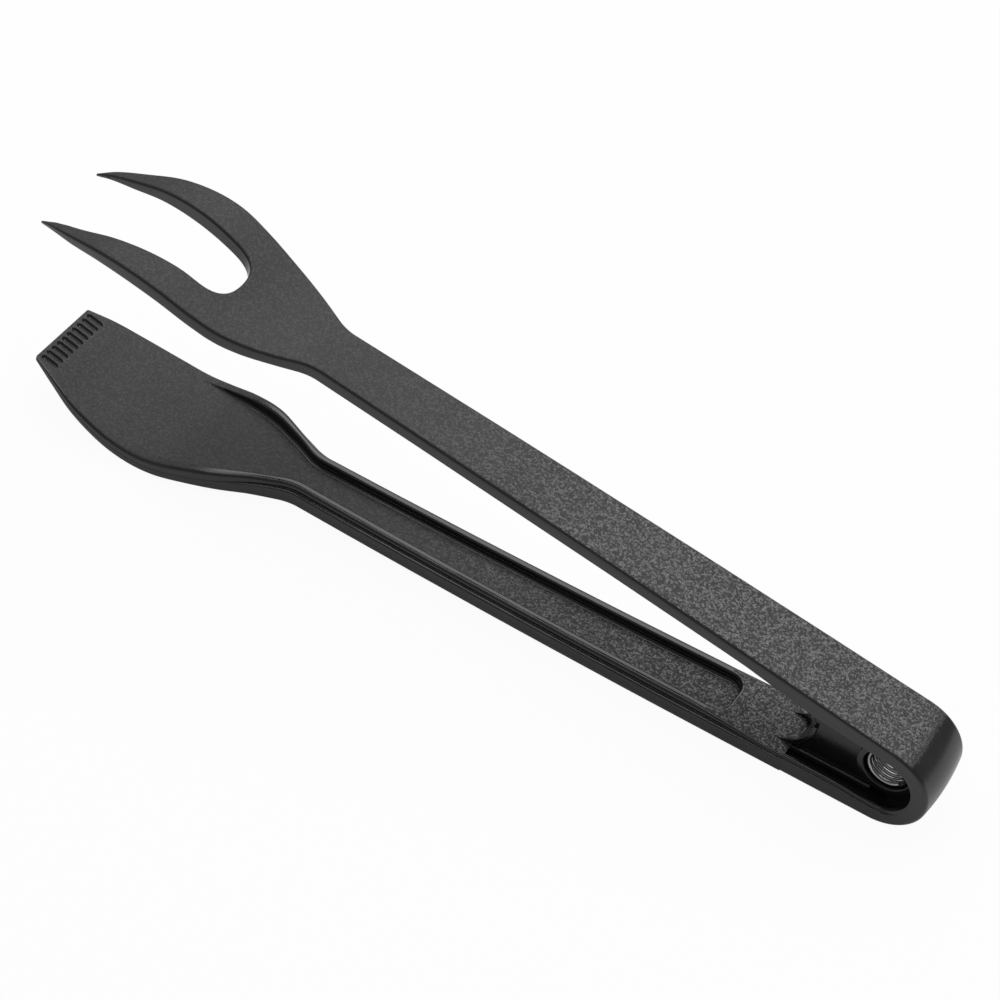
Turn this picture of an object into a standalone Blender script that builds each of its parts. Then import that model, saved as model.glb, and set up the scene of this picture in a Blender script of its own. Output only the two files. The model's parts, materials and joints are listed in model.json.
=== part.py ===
"""Kitchen tongs: a fork arm and a turner arm, clipped together at a sprung hinge.

Metres, +Z up. Both arms are described in arm coordinates: s runs from the hinge axis along the arm to
its tip, y runs across the tongs, and h runs from the axis out to the arm's back. The turner arm lies
below with its back down, and the fork arm stands open above it. The origin is the middle of the
footprint, on the surface that the tongs lie on.
"""

import math

import bmesh
import bpy
from mathutils import Vector

# The whole tongs
REACH = 0.2715  # hinge axis to the tips of both arms
NECK_DISTANCE = 0.1848  # hinge axis to the neck, where handle meets head
HINGE_RADIUS = 0.0143  # hinge axis to the back of the hood and of the handles
HINGE_HALF_WIDTH = 0.0112
NECK_HALF_WIDTH = 0.00885
OPEN_ANGLE = math.radians(9.25)  # between the two handles at rest
CLEARANCE = 0.0003  # between pieces that touch
OVERRUN = 0.003  # how far a cut passes the surface that it opens

# The handles
HANDLE_THICKNESS = 0.0061
FORK_HANDLE_BOW = 0.0007  # how far the back bulges between hinge and neck
TURNER_HANDLE_BOW = 0.00155
BACK_EDGE_ROUND = 0.0012
INNER_EDGE_ROUND = 0.0003
LEDGE_WIDTH = 0.0007  # step between the back plate and the raised rim
FAINT_LEDGE_WIDTH = 0.0001  # where the step has faded out
BACK_PLATE_SHARE = 0.76  # of the thickness
BACK_ROUND_LIMIT_SHARE = 0.3  # of the thickness, where an arm is thin
INNER_ROUND_LIMIT_SHARE = 0.15
LEDGE_FADE_SHARE = 0.3  # of the head's length, where the step fades out
HANDLE_STEPS = 16

# The channel in each arm's inner face
CHANNEL_START = 0.0463  # hinge axis to its rounded end
CHANNEL_CORNER = 0.0040
CHANNEL_DEPTH = 0.0027
RIM_WIDTH = 0.0031  # side of the arm to the channel's wall
CHANNEL_STEP_WIDTH = 0.00035  # narrow step half way down the wall
CHANNEL_STEP_HEIGHT = 0.0013
CHANNEL_CORNER_SHARES = (0.0, 0.05, 0.15, 0.35, 0.62, 1.0)

# The turner head: shares of its length from the neck, and of the size that each row follows
TURNER_HALF_WIDTH = 0.0201
TURNER_SAG = 0.0056  # how far the blade's middle hangs below the handle's inner face
HEAD_STEPS = 26
TURNER_WIDTH_SHARES = (
    (0.0, 0.43), (0.13, 0.65), (0.23, 0.82), (0.35, 0.94), (0.46, 0.995), (0.56, 1.0),
    (0.67, 0.975), (0.81, 0.885), (0.91, 0.765), (1.0, 0.62),
)
TURNER_SAG_SHARES = (
    (0.0, 0.0), (0.13, 0.0), (0.23, 0.15), (0.35, 0.48), (0.46, 0.86), (0.56, 1.0),
    (0.67, 0.8), (0.81, 0.26), (0.91, -0.32), (1.0, -0.71),
)
TURNER_THICKNESS_SHARES = (
    (0.0, 1.0), (0.3, 0.94), (0.55, 0.83), (0.72, 0.76), (0.88, 0.54), (1.0, 0.21),
)
TURNER_CHANNEL_SHARES = (
    (0.0, 1.0), (0.08, 1.19), (0.17, 1.37), (0.27, 1.26), (0.35, 1.07), (0.43, 0.78),
    (0.51, 0.28), (0.57, 0.02), (0.64, -0.2),
)
GROOVE_COUNT = 10
GROOVE_PITCH = 0.00235
GROOVE_WIDTH = 0.0010
GROOVE_DEPTH = 0.0004
GROOVE_LENGTH = 0.0070

# The fork head
FORK_HALF_WIDTH = 0.0205
FORK_RISE = 0.0058  # how far its back rises above the handle's back
FORK_WIDTH_SHARES = (
    (0.0, 0.43), (0.11, 0.645), (0.2, 0.79), (0.29, 0.895), (0.38, 0.96), (0.5, 1.0),
    (0.61, 0.985), (0.73, 0.925), (0.84, 0.82), (0.94, 0.705), (1.0, 0.61),
)
FORK_RISE_SHARES = (
    (0.0, 0.0), (0.11, -0.01), (0.2, 0.04), (0.29, 0.21), (0.38, 0.54), (0.5, 0.97),
    (0.61, 1.0), (0.73, 0.66), (0.84, 0.0), (0.94, -0.67), (1.0, -1.24),
)
FORK_THICKNESS_SHARES = (
    (0.0, 1.0), (0.15, 0.8), (0.38, 0.77), (0.61, 0.79), (0.84, 0.55), (0.93, 0.34), (1.0, 0.14),
)
FORK_CHANNEL_SHARES = ((0.0, 1.0), (0.1, 0.8), (0.2, 0.35), (0.28, -0.2))
GAP_START = 0.2143  # hinge axis to the root of the gap between the tines
GAP_HALF_WIDTH = 0.0120  # at the tips
GAP_SHARES = (
    (0.0, 0.25), (0.005, 0.37), (0.02, 0.49), (0.04, 0.585), (0.07, 0.675), (0.12, 0.735),
    (0.24, 0.785), (0.41, 0.87), (0.59, 0.945), (0.76, 0.99), (1.0, 1.0),
)

# The hood, which wraps the hinge end and carries the lower leg
LEG_LENGTH = 0.0263
HOOD_THICKNESS = 0.0051
HOOD_WALL = 0.0014  # side walls of its cavity
HOOD_FLOOR = 0.00284  # under its cavity
HOOD_CROWN = 0.0007  # how far the bend bulges between its sides
CROWN_SHARES = ((0.5, 0.75), (0.0, 1.0))  # of the half-width, and of the crown
CAVITY_END = 0.0220  # along the fork arm
LEDGE_END = 0.0500  # along the fork arm, where the ledge is full again
LEDGE_FADE_START = math.radians(-80)  # where the leg's step fades out in the bend
LEDGE_FADE_END = math.radians(-40)
HOOD_STEPS = 24
LEG_STEPS = 4

# The barrel and the seat in the hood that turns on it
BARREL_BORE_RADIUS = 0.00665
BARREL_WALL = 0.00125
COLLAR_HEIGHT = 0.00055  # beyond the barrel's running surface
COLLAR_WIDTH = 0.0007
BARREL_HALF_LENGTH = 0.0048
BARREL_SEGMENTS = 64
SEAT_LOW_ANGLE = math.radians(-80)  # from +X towards +Z
SEAT_LIP = 0.0030  # how far the seat reaches along the fork arm
SEAT_STEPS = 20

# The lug that carries the barrel
LUG_HALF_THICKNESS = 0.0043
LUG_FACE_DISTANCE = 0.0218  # hinge axis to the upright part of its front
LUG_FACE_HEIGHT = 0.0045  # where the front turns upright
LUG_RAMP_FLARE = 0.0010  # how far the ramp's radius exceeds its height
LUG_TOP_FRONT = 0.0062
LUG_TOP_REAR = 0.0048
LUG_ROOT = 0.0060  # how far it runs into the handle
LIP_HALF_WIDTH = 0.00515
LIP_OVERLAP = 0.00015  # how far the lips reach over the ramp
LIP_HEIGHT = 0.0006
LIP_ROOT = 0.0006
RAMP_STEPS = 12
FOOT_HALF_WIDTH = 0.0057
FOOT_THICKNESS = 0.0012
FOOT_ROUND = 0.0004
FOOT_END = 0.0030  # hinge axis to its hinge end
WEB_END = 0.0034  # hinge axis to the end of the web above it

# The torsion spring
WIRE_RADIUS = 0.00065
SPRING_TURNS = 5  # whole turns, beside the part turn between its legs
SPRING_POINTS_PER_TURN = 10
SPRING_HALF_LENGTH = 0.0042  # of the close turns
SPRING_LEAD_SHARE = 0.4  # of a turn, in which each end leaves the barrel
SPRING_TURNER_LEG = 0.0300  # hinge axis to its end, along the turner arm
SPRING_FORK_LEG = 0.0250
LEG_POINTS = 5

BARREL_RADIUS = BARREL_BORE_RADIUS + BARREL_WALL
SEAT_RADIUS = BARREL_RADIUS + CLEARANCE
SEAT_HALF_WIDTH = BARREL_HALF_LENGTH - COLLAR_WIDTH - CLEARANCE
ARM_START = LEG_LENGTH + CLEARANCE
LUG_RAMP_RADIUS = LUG_FACE_HEIGHT + HINGE_RADIUS - HANDLE_THICKNESS + LIP_ROOT + LUG_RAMP_FLARE
CAVITY_DEPTH_POSITION = HINGE_RADIUS - HOOD_FLOOR
FOOT_BOTTOM = CAVITY_DEPTH_POSITION - CLEARANCE
HEAD_LENGTH = REACH - NECK_DISTANCE
SPRING_RADIUS = BARREL_BORE_RADIUS - CLEARANCE - WIRE_RADIUS
SPRING_LEG_Y = LIP_HALF_WIDTH + CLEARANCE + WIRE_RADIUS


def curve(shares, along):
    """The smooth curve through a table of (place, value) shares, read at one place."""
    places = [place for place, _ in shares]
    values = [value for _, value in shares]
    if along <= places[0]:
        return values[0]
    if along >= places[-1]:
        return values[-1]
    last = len(places) - 1
    slopes = []
    for i in range(last + 1):
        low = max(i - 1, 0)
        high = min(i + 1, last)
        slopes.append((values[high] - values[low]) / (places[high] - places[low]))
    i = max(k for k in range(last) if places[k] <= along)
    step = places[i + 1] - places[i]
    t = (along - places[i]) / step
    rise = t * t * (3 - 2 * t)
    start = t * (1 - t) ** 2 * step * slopes[i]
    end = t * t * (t - 1) * step * slopes[i + 1]
    return values[i] + rise * (values[i + 1] - values[i]) + start + end


def even(start, end, steps):
    """Evenly spaced values from start to end."""
    return [start + (end - start) * k / steps for k in range(steps + 1)]


def blend(along, start, end):
    """A share that rises smoothly from 0 at start to 1 at end."""
    t = min(max((along - start) / (end - start), 0), 1)
    return t * t * (3 - 2 * t)


def head_share(s):
    return (s - NECK_DISTANCE) / HEAD_LENGTH


def handle_half_width(s):
    return HINGE_HALF_WIDTH + (NECK_HALF_WIDTH - HINGE_HALF_WIDTH) * max(s, 0) / NECK_DISTANCE


def handle_back(s, bow):
    """Height of a handle's back over the hinge axis."""
    t = max(s, 0) / NECK_DISTANCE
    return HINGE_RADIUS + bow * 4 * t * (1 - t)


class Turner:
    """The turner arm's outline, in arm coordinates."""

    @staticmethod
    def half_width(s):
        if s < NECK_DISTANCE:
            return handle_half_width(s)
        return TURNER_HALF_WIDTH * curve(TURNER_WIDTH_SHARES, head_share(s))

    @staticmethod
    def thickness(s):
        if s < NECK_DISTANCE:
            return HANDLE_THICKNESS
        return HANDLE_THICKNESS * curve(TURNER_THICKNESS_SHARES, head_share(s))

    @staticmethod
    def back(s):
        if s < NECK_DISTANCE:
            return handle_back(s, TURNER_HANDLE_BOW)
        inner = HINGE_RADIUS - HANDLE_THICKNESS + TURNER_SAG * curve(TURNER_SAG_SHARES, head_share(s))
        return inner + Turner.thickness(s)

    @staticmethod
    def channel_depth(s):
        return CHANNEL_DEPTH * curve(TURNER_CHANNEL_SHARES, head_share(s))

    @staticmethod
    def ledge(s):
        faded = blend(head_share(s), 0, LEDGE_FADE_SHARE)
        return LEDGE_WIDTH + (FAINT_LEDGE_WIDTH - LEDGE_WIDTH) * faded

    @staticmethod
    def point(s, y, h):
        return Vector((-s, y, -h))


class Fork:
    """The fork arm's outline, in arm coordinates."""

    @staticmethod
    def half_width(s):
        if s < NECK_DISTANCE:
            return handle_half_width(s)
        return FORK_HALF_WIDTH * curve(FORK_WIDTH_SHARES, head_share(s))

    @staticmethod
    def thickness(s):
        if s < NECK_DISTANCE:
            grown = blend(s, 0, CAVITY_END)
            return HOOD_THICKNESS + (HANDLE_THICKNESS - HOOD_THICKNESS) * grown
        return HANDLE_THICKNESS * curve(FORK_THICKNESS_SHARES, head_share(s))

    @staticmethod
    def back(s):
        if s < NECK_DISTANCE:
            return handle_back(s, FORK_HANDLE_BOW)
        return HINGE_RADIUS + FORK_RISE * curve(FORK_RISE_SHARES, head_share(s))

    @staticmethod
    def channel_depth(s):
        return CHANNEL_DEPTH * curve(FORK_CHANNEL_SHARES, head_share(s))

    @staticmethod
    def ledge(s):
        full = blend(s, CAVITY_END, LEDGE_END)
        full *= 1 - blend(head_share(s), 0, LEDGE_FADE_SHARE)
        return FAINT_LEDGE_WIDTH + (LEDGE_WIDTH - FAINT_LEDGE_WIDTH) * full

    @staticmethod
    def point(s, y, h):
        along = Vector((-math.cos(OPEN_ANGLE), 0, math.sin(OPEN_ANGLE)))
        out = Vector((math.sin(OPEN_ANGLE), 0, math.cos(OPEN_ANGLE)))
        return along * s + out * h + Vector((0, y, 0))


def hood_point(angle, y, h):
    """A point of the hood's bend, at an angle from +X towards +Z."""
    return Vector((h * math.cos(angle), y, h * math.sin(angle)))


def leg_point(x, y, h):
    return Vector((x, y, -h))


def arm_section(half_width, back, thickness, ledge, crown=0):
    """Outline of an arm's cross-section as (y, h) points: crowned back plate, then the raised rim."""
    back_round = min(BACK_EDGE_ROUND, thickness * BACK_ROUND_LIMIT_SHARE)
    inner_round = min(INNER_EDGE_ROUND, thickness * INNER_ROUND_LIMIT_SHARE)
    corner = back_round * (1 - math.sqrt(0.5))
    plate = back - thickness * BACK_PLATE_SHARE
    inner = back - thickness
    rim = half_width - ledge
    side = [
        (half_width - back_round, back),
        (half_width - corner, back - corner),
        (half_width, back - back_round),
        (half_width, plate),
        (rim, plate),
        (rim, inner + inner_round),
        (rim - inner_round, inner),
    ]
    flat = half_width - back_round
    crest = [(-flat * place, back + crown * height) for place, height in CROWN_SHARES]
    crest += [(-y, h) for y, h in reversed(crest[:-1])]
    return side + [(-y, h) for y, h in reversed(side)] + crest


def box_section(half_width, low, high):
    return [(half_width, high), (half_width, low), (-half_width, low), (-half_width, high)]


def new_object(name, bm):
    bmesh.ops.recalc_face_normals(bm, faces=bm.faces[:])
    mesh = bpy.data.meshes.new(name)
    bm.to_mesh(mesh)
    bm.free()
    mesh.shade_smooth()
    mesh.set_sharp_from_angle(angle=math.radians(30))
    obj = bpy.data.objects.new(name, mesh)
    bpy.context.scene.collection.objects.link(obj)
    return obj


def add_loft(bm, rings):
    """Adds a closed body through rings of equally many points."""
    loops = [[bm.verts.new(point) for point in ring] for ring in rings]
    for near, far in zip(loops, loops[1:]):
        for i in range(len(near)):
            k = (i + 1) % len(near)
            bm.faces.new((near[i], near[k], far[k], far[i]))
    bm.faces.new(list(reversed(loops[0])))
    bm.faces.new(loops[-1])


def loft(name, rings):
    bm = bmesh.new()
    add_loft(bm, rings)
    return new_object(name, bm)


def slab(name, outline, low_y, high_y):
    """A flat body with an (x, z) outline, from low_y to high_y."""
    rings = [[Vector((x, y, z)) for x, z in outline] for y in (low_y, high_y)]
    return loft(name, rings)


def turned(name, profile):
    """A body turned round the hinge axis from (radius, y) points."""
    rings = []
    bm = bmesh.new()
    for radius, y in profile:
        ring = []
        for k in range(BARREL_SEGMENTS):
            angle = math.tau * k / BARREL_SEGMENTS
            ring.append(bm.verts.new((radius * math.cos(angle), y, radius * math.sin(angle))))
        rings.append(ring)
    for near, far in zip(rings, rings[1:]):
        for i in range(BARREL_SEGMENTS):
            k = (i + 1) % BARREL_SEGMENTS
            bm.faces.new((near[i], near[k], far[k], far[i]))
    bm.faces.new(rings[0])
    bm.faces.new(rings[-1])
    return new_object(name, bm)


def combine(target, tool, operation):
    """Joins the tool to the target, or cuts the target with it, and leaves the tool as a guide."""
    modifier = target.modifiers.new(tool.name, "BOOLEAN")
    modifier.operation = operation
    modifier.object = tool
    tool.hide_render = True
    tool.display_type = "WIRE"


def material(name, colour, roughness, metallic):
    found = bpy.data.materials.new(name)
    found.use_nodes = True
    shader = found.node_tree.nodes["Principled BSDF"]
    shader.inputs["Base Color"].default_value = (*colour, 1)
    shader.inputs["Roughness"].default_value = roughness
    shader.inputs["Metallic"].default_value = metallic
    return found


def channel_rings(arm):
    """Cutter for an arm's channel: a rounded end near the hinge, a fading end in the head."""
    stations = []
    for share in CHANNEL_CORNER_SHARES:
        run = CHANNEL_CORNER * share
        drawn_in = CHANNEL_CORNER - math.sqrt(CHANNEL_CORNER ** 2 - (CHANNEL_CORNER - run) ** 2)
        stations.append((CHANNEL_START + run, drawn_in))
    stations += [(s, 0) for s in even(CHANNEL_START + CHANNEL_CORNER, NECK_DISTANCE, HANDLE_STEPS)[1:]]
    fade = (TURNER_CHANNEL_SHARES if arm is Turner else FORK_CHANNEL_SHARES)[-1][0]
    fade_end = NECK_DISTANCE + HEAD_LENGTH * fade
    stations += [(s, 0) for s in even(NECK_DISTANCE, fade_end, HEAD_STEPS // 2)[1:]]
    rings = []
    for s, drawn_in in stations:
        inner = arm.back(s) - arm.thickness(s)
        floor = inner + arm.channel_depth(s)
        step = floor - CHANNEL_STEP_HEIGHT
        top = inner - OVERRUN
        half = arm.half_width(s) - RIM_WIDTH - drawn_in
        low_half = half - CHANNEL_STEP_WIDTH
        side = [(low_half, floor), (low_half, step), (half, step), (half, top)]
        section = side + [(-y, h) for y, h in reversed(side)]
        rings.append([arm.point(s, y, h) for y, h in section])
    return rings


def arm_rings(arm, stations):
    rings = []
    for s in stations:
        section = arm_section(arm.half_width(s), arm.back(s), arm.thickness(s), arm.ledge(s))
        rings.append([arm.point(s, y, h) for y, h in section])
    return rings


def ramp_profile(offset, flare):
    """The lug's front in (x, z), round the ramp to its top: the less the flare, the deeper it starts."""
    radius = LUG_RAMP_RADIUS - offset
    centre_x = -LUG_FACE_DISTANCE - LUG_RAMP_RADIUS
    low_angle = -math.asin((LUG_RAMP_RADIUS - flare) / LUG_RAMP_RADIUS)
    points = []
    for angle in even(low_angle, 0, RAMP_STEPS):
        points.append((centre_x + radius * math.cos(angle), LUG_FACE_HEIGHT + radius * math.sin(angle)))
    points.append((centre_x + radius, LUG_TOP_FRONT))
    return points


def add_lug(arm_object):
    """The lug: web, lips along its ramp, foot, and the barrel with its collars and bore."""
    low = FOOT_THICKNESS / 2 - FOOT_BOTTOM
    ramp = ramp_profile(0, LUG_RAMP_FLARE / 2)
    front = ramp[0][0] - LUG_ROOT
    web = [(front, ramp[0][1] - LIP_ROOT)] + ramp
    web += [(-BARREL_BORE_RADIUS - BARREL_WALL / 2, LUG_TOP_REAR), (-WEB_END, 0)]
    web += [(-WEB_END, low), (front, low)]
    combine(arm_object, slab("lug_web", web, -LUG_HALF_THICKNESS, LUG_HALF_THICKNESS), "UNION")

    outer = ramp_profile(LIP_HEIGHT, LUG_RAMP_FLARE)
    inner = ramp_profile(-LIP_ROOT, LUG_RAMP_FLARE)
    strip = outer + list(reversed(inner))
    for name, side in (("lug_lip_near", -1), ("lug_lip_far", 1)):
        edges = sorted((side * LIP_HALF_WIDTH, side * (LUG_HALF_THICKNESS - LIP_OVERLAP)))
        combine(arm_object, slab(name, strip, *edges), "UNION")

    top = FOOT_BOTTOM - FOOT_THICKNESS
    side = [
        (FOOT_HALF_WIDTH - FOOT_ROUND, top),
        (FOOT_HALF_WIDTH, top + FOOT_ROUND),
        (FOOT_HALF_WIDTH, FOOT_BOTTOM - FOOT_ROUND),
        (FOOT_HALF_WIDTH - FOOT_ROUND, FOOT_BOTTOM),
    ]
    section = side + [(-y, h) for y, h in reversed(side)]
    rings = [[Turner.point(s, y, h) for y, h in section] for s in (FOOT_END, -front)]
    combine(arm_object, loft("lug_foot", rings), "UNION")

    collar = BARREL_RADIUS + COLLAR_HEIGHT
    shoulder = BARREL_HALF_LENGTH - COLLAR_WIDTH
    profile = [
        (collar, -BARREL_HALF_LENGTH), (collar, -shoulder), (BARREL_RADIUS, -shoulder),
        (BARREL_RADIUS, shoulder), (collar, shoulder), (collar, BARREL_HALF_LENGTH),
    ]
    combine(arm_object, turned("barrel", profile), "UNION")
    bore = [(BARREL_BORE_RADIUS, -BARREL_HALF_LENGTH - OVERRUN)]
    bore += [(BARREL_BORE_RADIUS, BARREL_HALF_LENGTH + OVERRUN)]
    combine(arm_object, turned("barrel_bore", bore), "DIFFERENCE")


def handle_stations():
    """Where the turner's handle has sections: its back is flat from its start to the channel's."""
    return [ARM_START] + even(CHANNEL_START, NECK_DISTANCE, HANDLE_STEPS)


def make_turner_arm():
    stations = handle_stations() + even(NECK_DISTANCE, REACH, HEAD_STEPS)[1:]
    arm = loft("turner_arm", arm_rings(Turner, stations))
    combine(arm, loft("turner_channel", channel_rings(Turner)), "DIFFERENCE")
    bm = bmesh.new()
    for k in range(GROOVE_COUNT):
        y = GROOVE_PITCH * (k - (GROOVE_COUNT - 1) / 2)
        rings = []
        for s in (REACH - GROOVE_LENGTH, REACH - GROOVE_LENGTH / 2, REACH, REACH + OVERRUN):
            face = Turner.back(s) - Turner.thickness(s)
            section = box_section(GROOVE_WIDTH / 2, face - OVERRUN, face + GROOVE_DEPTH)
            rings.append([Turner.point(s, y + across, h) for across, h in section])
        add_loft(bm, rings)
    combine(arm, new_object("turner_grooves", bm), "DIFFERENCE")
    add_lug(arm)
    return arm


def make_fork_arm():
    """The fork arm, from the end of its lower leg round the hood and along to the tines."""
    rings = []
    for x in even(-LEG_LENGTH, 0, LEG_STEPS)[:-1]:
        thinned = blend(x, -LEG_LENGTH / 2, 0)
        thickness = HANDLE_THICKNESS + (HOOD_THICKNESS - HANDLE_THICKNESS) * thinned
        section = arm_section(HINGE_HALF_WIDTH, HINGE_RADIUS, thickness, LEDGE_WIDTH)
        rings.append([leg_point(x, y, h) for y, h in section])
    bend_start = math.radians(-90)
    bend_end = math.radians(90) - OPEN_ANGLE
    for angle in even(bend_start, bend_end, HOOD_STEPS)[:-1]:
        faded = blend(angle, LEDGE_FADE_START, LEDGE_FADE_END)
        ledge = LEDGE_WIDTH + (FAINT_LEDGE_WIDTH - LEDGE_WIDTH) * faded
        crown = HOOD_CROWN * math.sin(math.pi * (angle - bend_start) / (bend_end - bend_start))
        section = arm_section(HINGE_HALF_WIDTH, HINGE_RADIUS, HOOD_THICKNESS, ledge, crown)
        rings.append([hood_point(angle, y, h) for y, h in section])
    stations = [0, CAVITY_END / 2, (CAVITY_END + LEDGE_END) / 2]
    stations += even(LEDGE_END, NECK_DISTANCE, HANDLE_STEPS)
    stations += even(NECK_DISTANCE, REACH, HEAD_STEPS)[1:]
    arm = loft("fork_arm", rings + arm_rings(Fork, stations))
    combine(arm, loft("fork_channel", channel_rings(Fork)), "DIFFERENCE")

    inside = HINGE_RADIUS - HANDLE_THICKNESS - OVERRUN
    section = box_section(HINGE_HALF_WIDTH - HOOD_WALL, inside, CAVITY_DEPTH_POSITION)
    rings = [[leg_point(x, y, h) for y, h in section] for x in (-LEG_LENGTH - OVERRUN, -LEG_LENGTH / 2)]
    for angle in even(bend_start, bend_end, HOOD_STEPS):
        rings.append([hood_point(angle, y, h) for y, h in section])
    rings.append([Fork.point(CAVITY_END, y, h) for y, h in section])
    combine(arm, loft("hood_cavity", rings), "DIFFERENCE")

    root = CAVITY_DEPTH_POSITION + HOOD_FLOOR / 4
    rings = []
    for angle in even(SEAT_LOW_ANGLE, bend_end, SEAT_STEPS):
        section = box_section(SEAT_HALF_WIDTH, SEAT_RADIUS, root)
        rings.append([hood_point(angle, y, h) for y, h in section])
    for s in even(0, SEAT_LIP, 3)[1:]:
        section = box_section(SEAT_HALF_WIDTH, math.sqrt(SEAT_RADIUS ** 2 - s ** 2), root)
        rings.append([Fork.point(s, y, h) for y, h in section])
    combine(arm, loft("hood_seat", rings), "UNION")

    gap_length = REACH - GAP_START
    stations = []
    for place, _ in GAP_SHARES:
        stations.append((GAP_START + gap_length * place, GAP_HALF_WIDTH * curve(GAP_SHARES, place)))
    stations.append((REACH + OVERRUN, GAP_HALF_WIDTH))
    rings = []
    for s, half in stations:
        back = Fork.back(s)
        section = box_section(half, back - HANDLE_THICKNESS - OVERRUN, back + OVERRUN)
        rings.append([Fork.point(s, y, h) for y, h in section])
    combine(arm, loft("fork_gap", rings), "DIFFERENCE")
    return arm


def tangent_angle(foot):
    """Where a line from a point in (x, z) meets the spring's mean circle, turning from +X to +Z."""
    distance = math.hypot(*foot)
    return math.atan2(foot[1], foot[0]) + math.acos(SPRING_RADIUS / distance)


def spring_path():
    """Centre line: the turner's leg, the turns inside the barrel, then the fork's leg."""
    inner_face = HINGE_RADIUS - HANDLE_THICKNESS - CLEARANCE - WIRE_RADIUS
    low_end = Turner.point(SPRING_TURNER_LEG, SPRING_LEG_Y, inner_face)
    high_end = Fork.point(SPRING_FORK_LEG, -SPRING_LEG_Y, inner_face)
    start = tangent_angle((low_end.x, low_end.z))
    distance = math.hypot(high_end.x, high_end.z)
    end = math.atan2(high_end.z, high_end.x) - math.acos(SPRING_RADIUS / distance)
    sweep = (end - start) % math.tau + math.tau * SPRING_TURNS
    lead = math.tau * SPRING_LEAD_SHARE
    count = round(SPRING_POINTS_PER_TURN * sweep / math.tau)
    coil = []
    for turned_by in even(0, sweep, count):
        if turned_by < lead:
            y = SPRING_LEG_Y + (SPRING_HALF_LENGTH - SPRING_LEG_Y) * blend(turned_by, 0, lead)
        elif turned_by > sweep - lead:
            out = blend(turned_by, sweep - lead, sweep)
            y = -SPRING_HALF_LENGTH - (SPRING_LEG_Y - SPRING_HALF_LENGTH) * out
        else:
            y = SPRING_HALF_LENGTH * (1 - 2 * (turned_by - lead) / (sweep - 2 * lead))
        angle = start + turned_by
        coil.append(Vector((SPRING_RADIUS * math.cos(angle), y, SPRING_RADIUS * math.sin(angle))))
    first = [low_end.lerp(coil[0], k / LEG_POINTS) for k in range(LEG_POINTS)]
    final = [coil[-1].lerp(high_end, (k + 1) / LEG_POINTS) for k in range(LEG_POINTS)]
    return first + coil + final


def least_gap(path):
    """Smallest clear distance between stretches of the wire over half a turn apart."""
    apart = SPRING_POINTS_PER_TURN // 2
    best = math.inf
    for i in range(len(path) - 1):
        for k in range(i + apart, len(path) - 1):
            for t in (0, 0.5, 1):
                point = path[i].lerp(path[i + 1], t)
                line = path[k + 1] - path[k]
                share = min(max((point - path[k]).dot(line) / line.length_squared, 0), 1)
                best = min(best, (path[k] + line * share - point).length)
    return best - 2 * WIRE_RADIUS


def make_spring():
    path = spring_path()
    print(f"torsion spring: least gap to itself {least_gap(path):.5f} m")
    curve_data = bpy.data.curves.new("torsion_spring", "CURVE")
    curve_data.dimensions = "3D"
    curve_data.bevel_depth = WIRE_RADIUS
    curve_data.bevel_resolution = 1
    curve_data.use_fill_caps = True
    spline = curve_data.splines.new("POLY")
    spline.points.add(len(path) - 1)
    for point, place in zip(spline.points, path):
        point.co = (*place, 1)
    obj = bpy.data.objects.new("torsion_spring", curve_data)
    bpy.context.scene.collection.objects.link(obj)
    return obj


def rest_tilt():
    """How far the turner arm tips so that its blade and its handle both lie on the surface."""
    handle = handle_stations()
    blade = even(NECK_DISTANCE, REACH, HEAD_STEPS)[1:]
    tilts = []
    for s in handle[:-1]:
        tilts.append(max(math.atan2(Turner.back(low) - Turner.back(s), low - s) for low in blade))
    return min(tilts)


def world_corners(objects):
    """Lowest and highest corner of the evaluated objects."""
    graph = bpy.context.evaluated_depsgraph_get()
    points = []
    for obj in objects:
        shown = obj.evaluated_get(graph)
        mesh = shown.to_mesh()
        points += [shown.matrix_world @ vertex.co for vertex in mesh.vertices]
        shown.to_mesh_clear()
    low = Vector([min(point[axis] for point in points) for axis in range(3)])
    high = Vector([max(point[axis] for point in points) for axis in range(3)])
    return low, high


def main():
    for obj in list(bpy.data.objects):
        bpy.data.objects.remove(obj, do_unlink=True)
    turner = make_turner_arm()
    fork = make_fork_arm()
    spring = make_spring()
    nylon = material("black_nylon", (0.045, 0.045, 0.047), 0.42, 0.0)
    nylon_fork = material("black_nylon_fork", (0.05, 0.05, 0.052), 0.42, 0.0)
    steel = material("spring_steel", (0.72, 0.72, 0.74), 0.22, 1.0)
    for obj, look in ((turner, nylon), (fork, nylon_fork), (spring, steel)):
        obj.data.materials.append(look)

    tongs = bpy.data.objects.new("tongs", None)
    bpy.context.scene.collection.objects.link(tongs)
    for obj in list(bpy.data.objects):
        if obj is not tongs:
            obj.parent = tongs
    tongs.rotation_euler.y = rest_tilt()
    bpy.context.view_layer.update()
    low, high = world_corners((turner, fork, spring))
    middle = (low + high) / 2
    tongs.location -= Vector((middle.x, middle.y, low.z))
    bpy.context.view_layer.update()
    hinge = tongs.matrix_world.translation
    print(f"hinge axis at {hinge.x:.6f} {hinge.y:.6f} {hinge.z:.6f}, tilt {tongs.rotation_euler.y:.6f} rad")
    print("size", *(f"{value:.6f}" for value in high - low))


main()
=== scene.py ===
"""The looks of a pair of kitchen tongs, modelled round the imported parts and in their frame.

Both arms are drawn in arm coordinates: s runs from the hinge axis along the arm to its tip, y runs
across the tongs, and h runs from the axis out to the arm's back. The finished pieces are then set down
on the surface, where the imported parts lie.
"""

import json
import math

import bmesh
import bpy
from mathutils import Matrix, Vector


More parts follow.
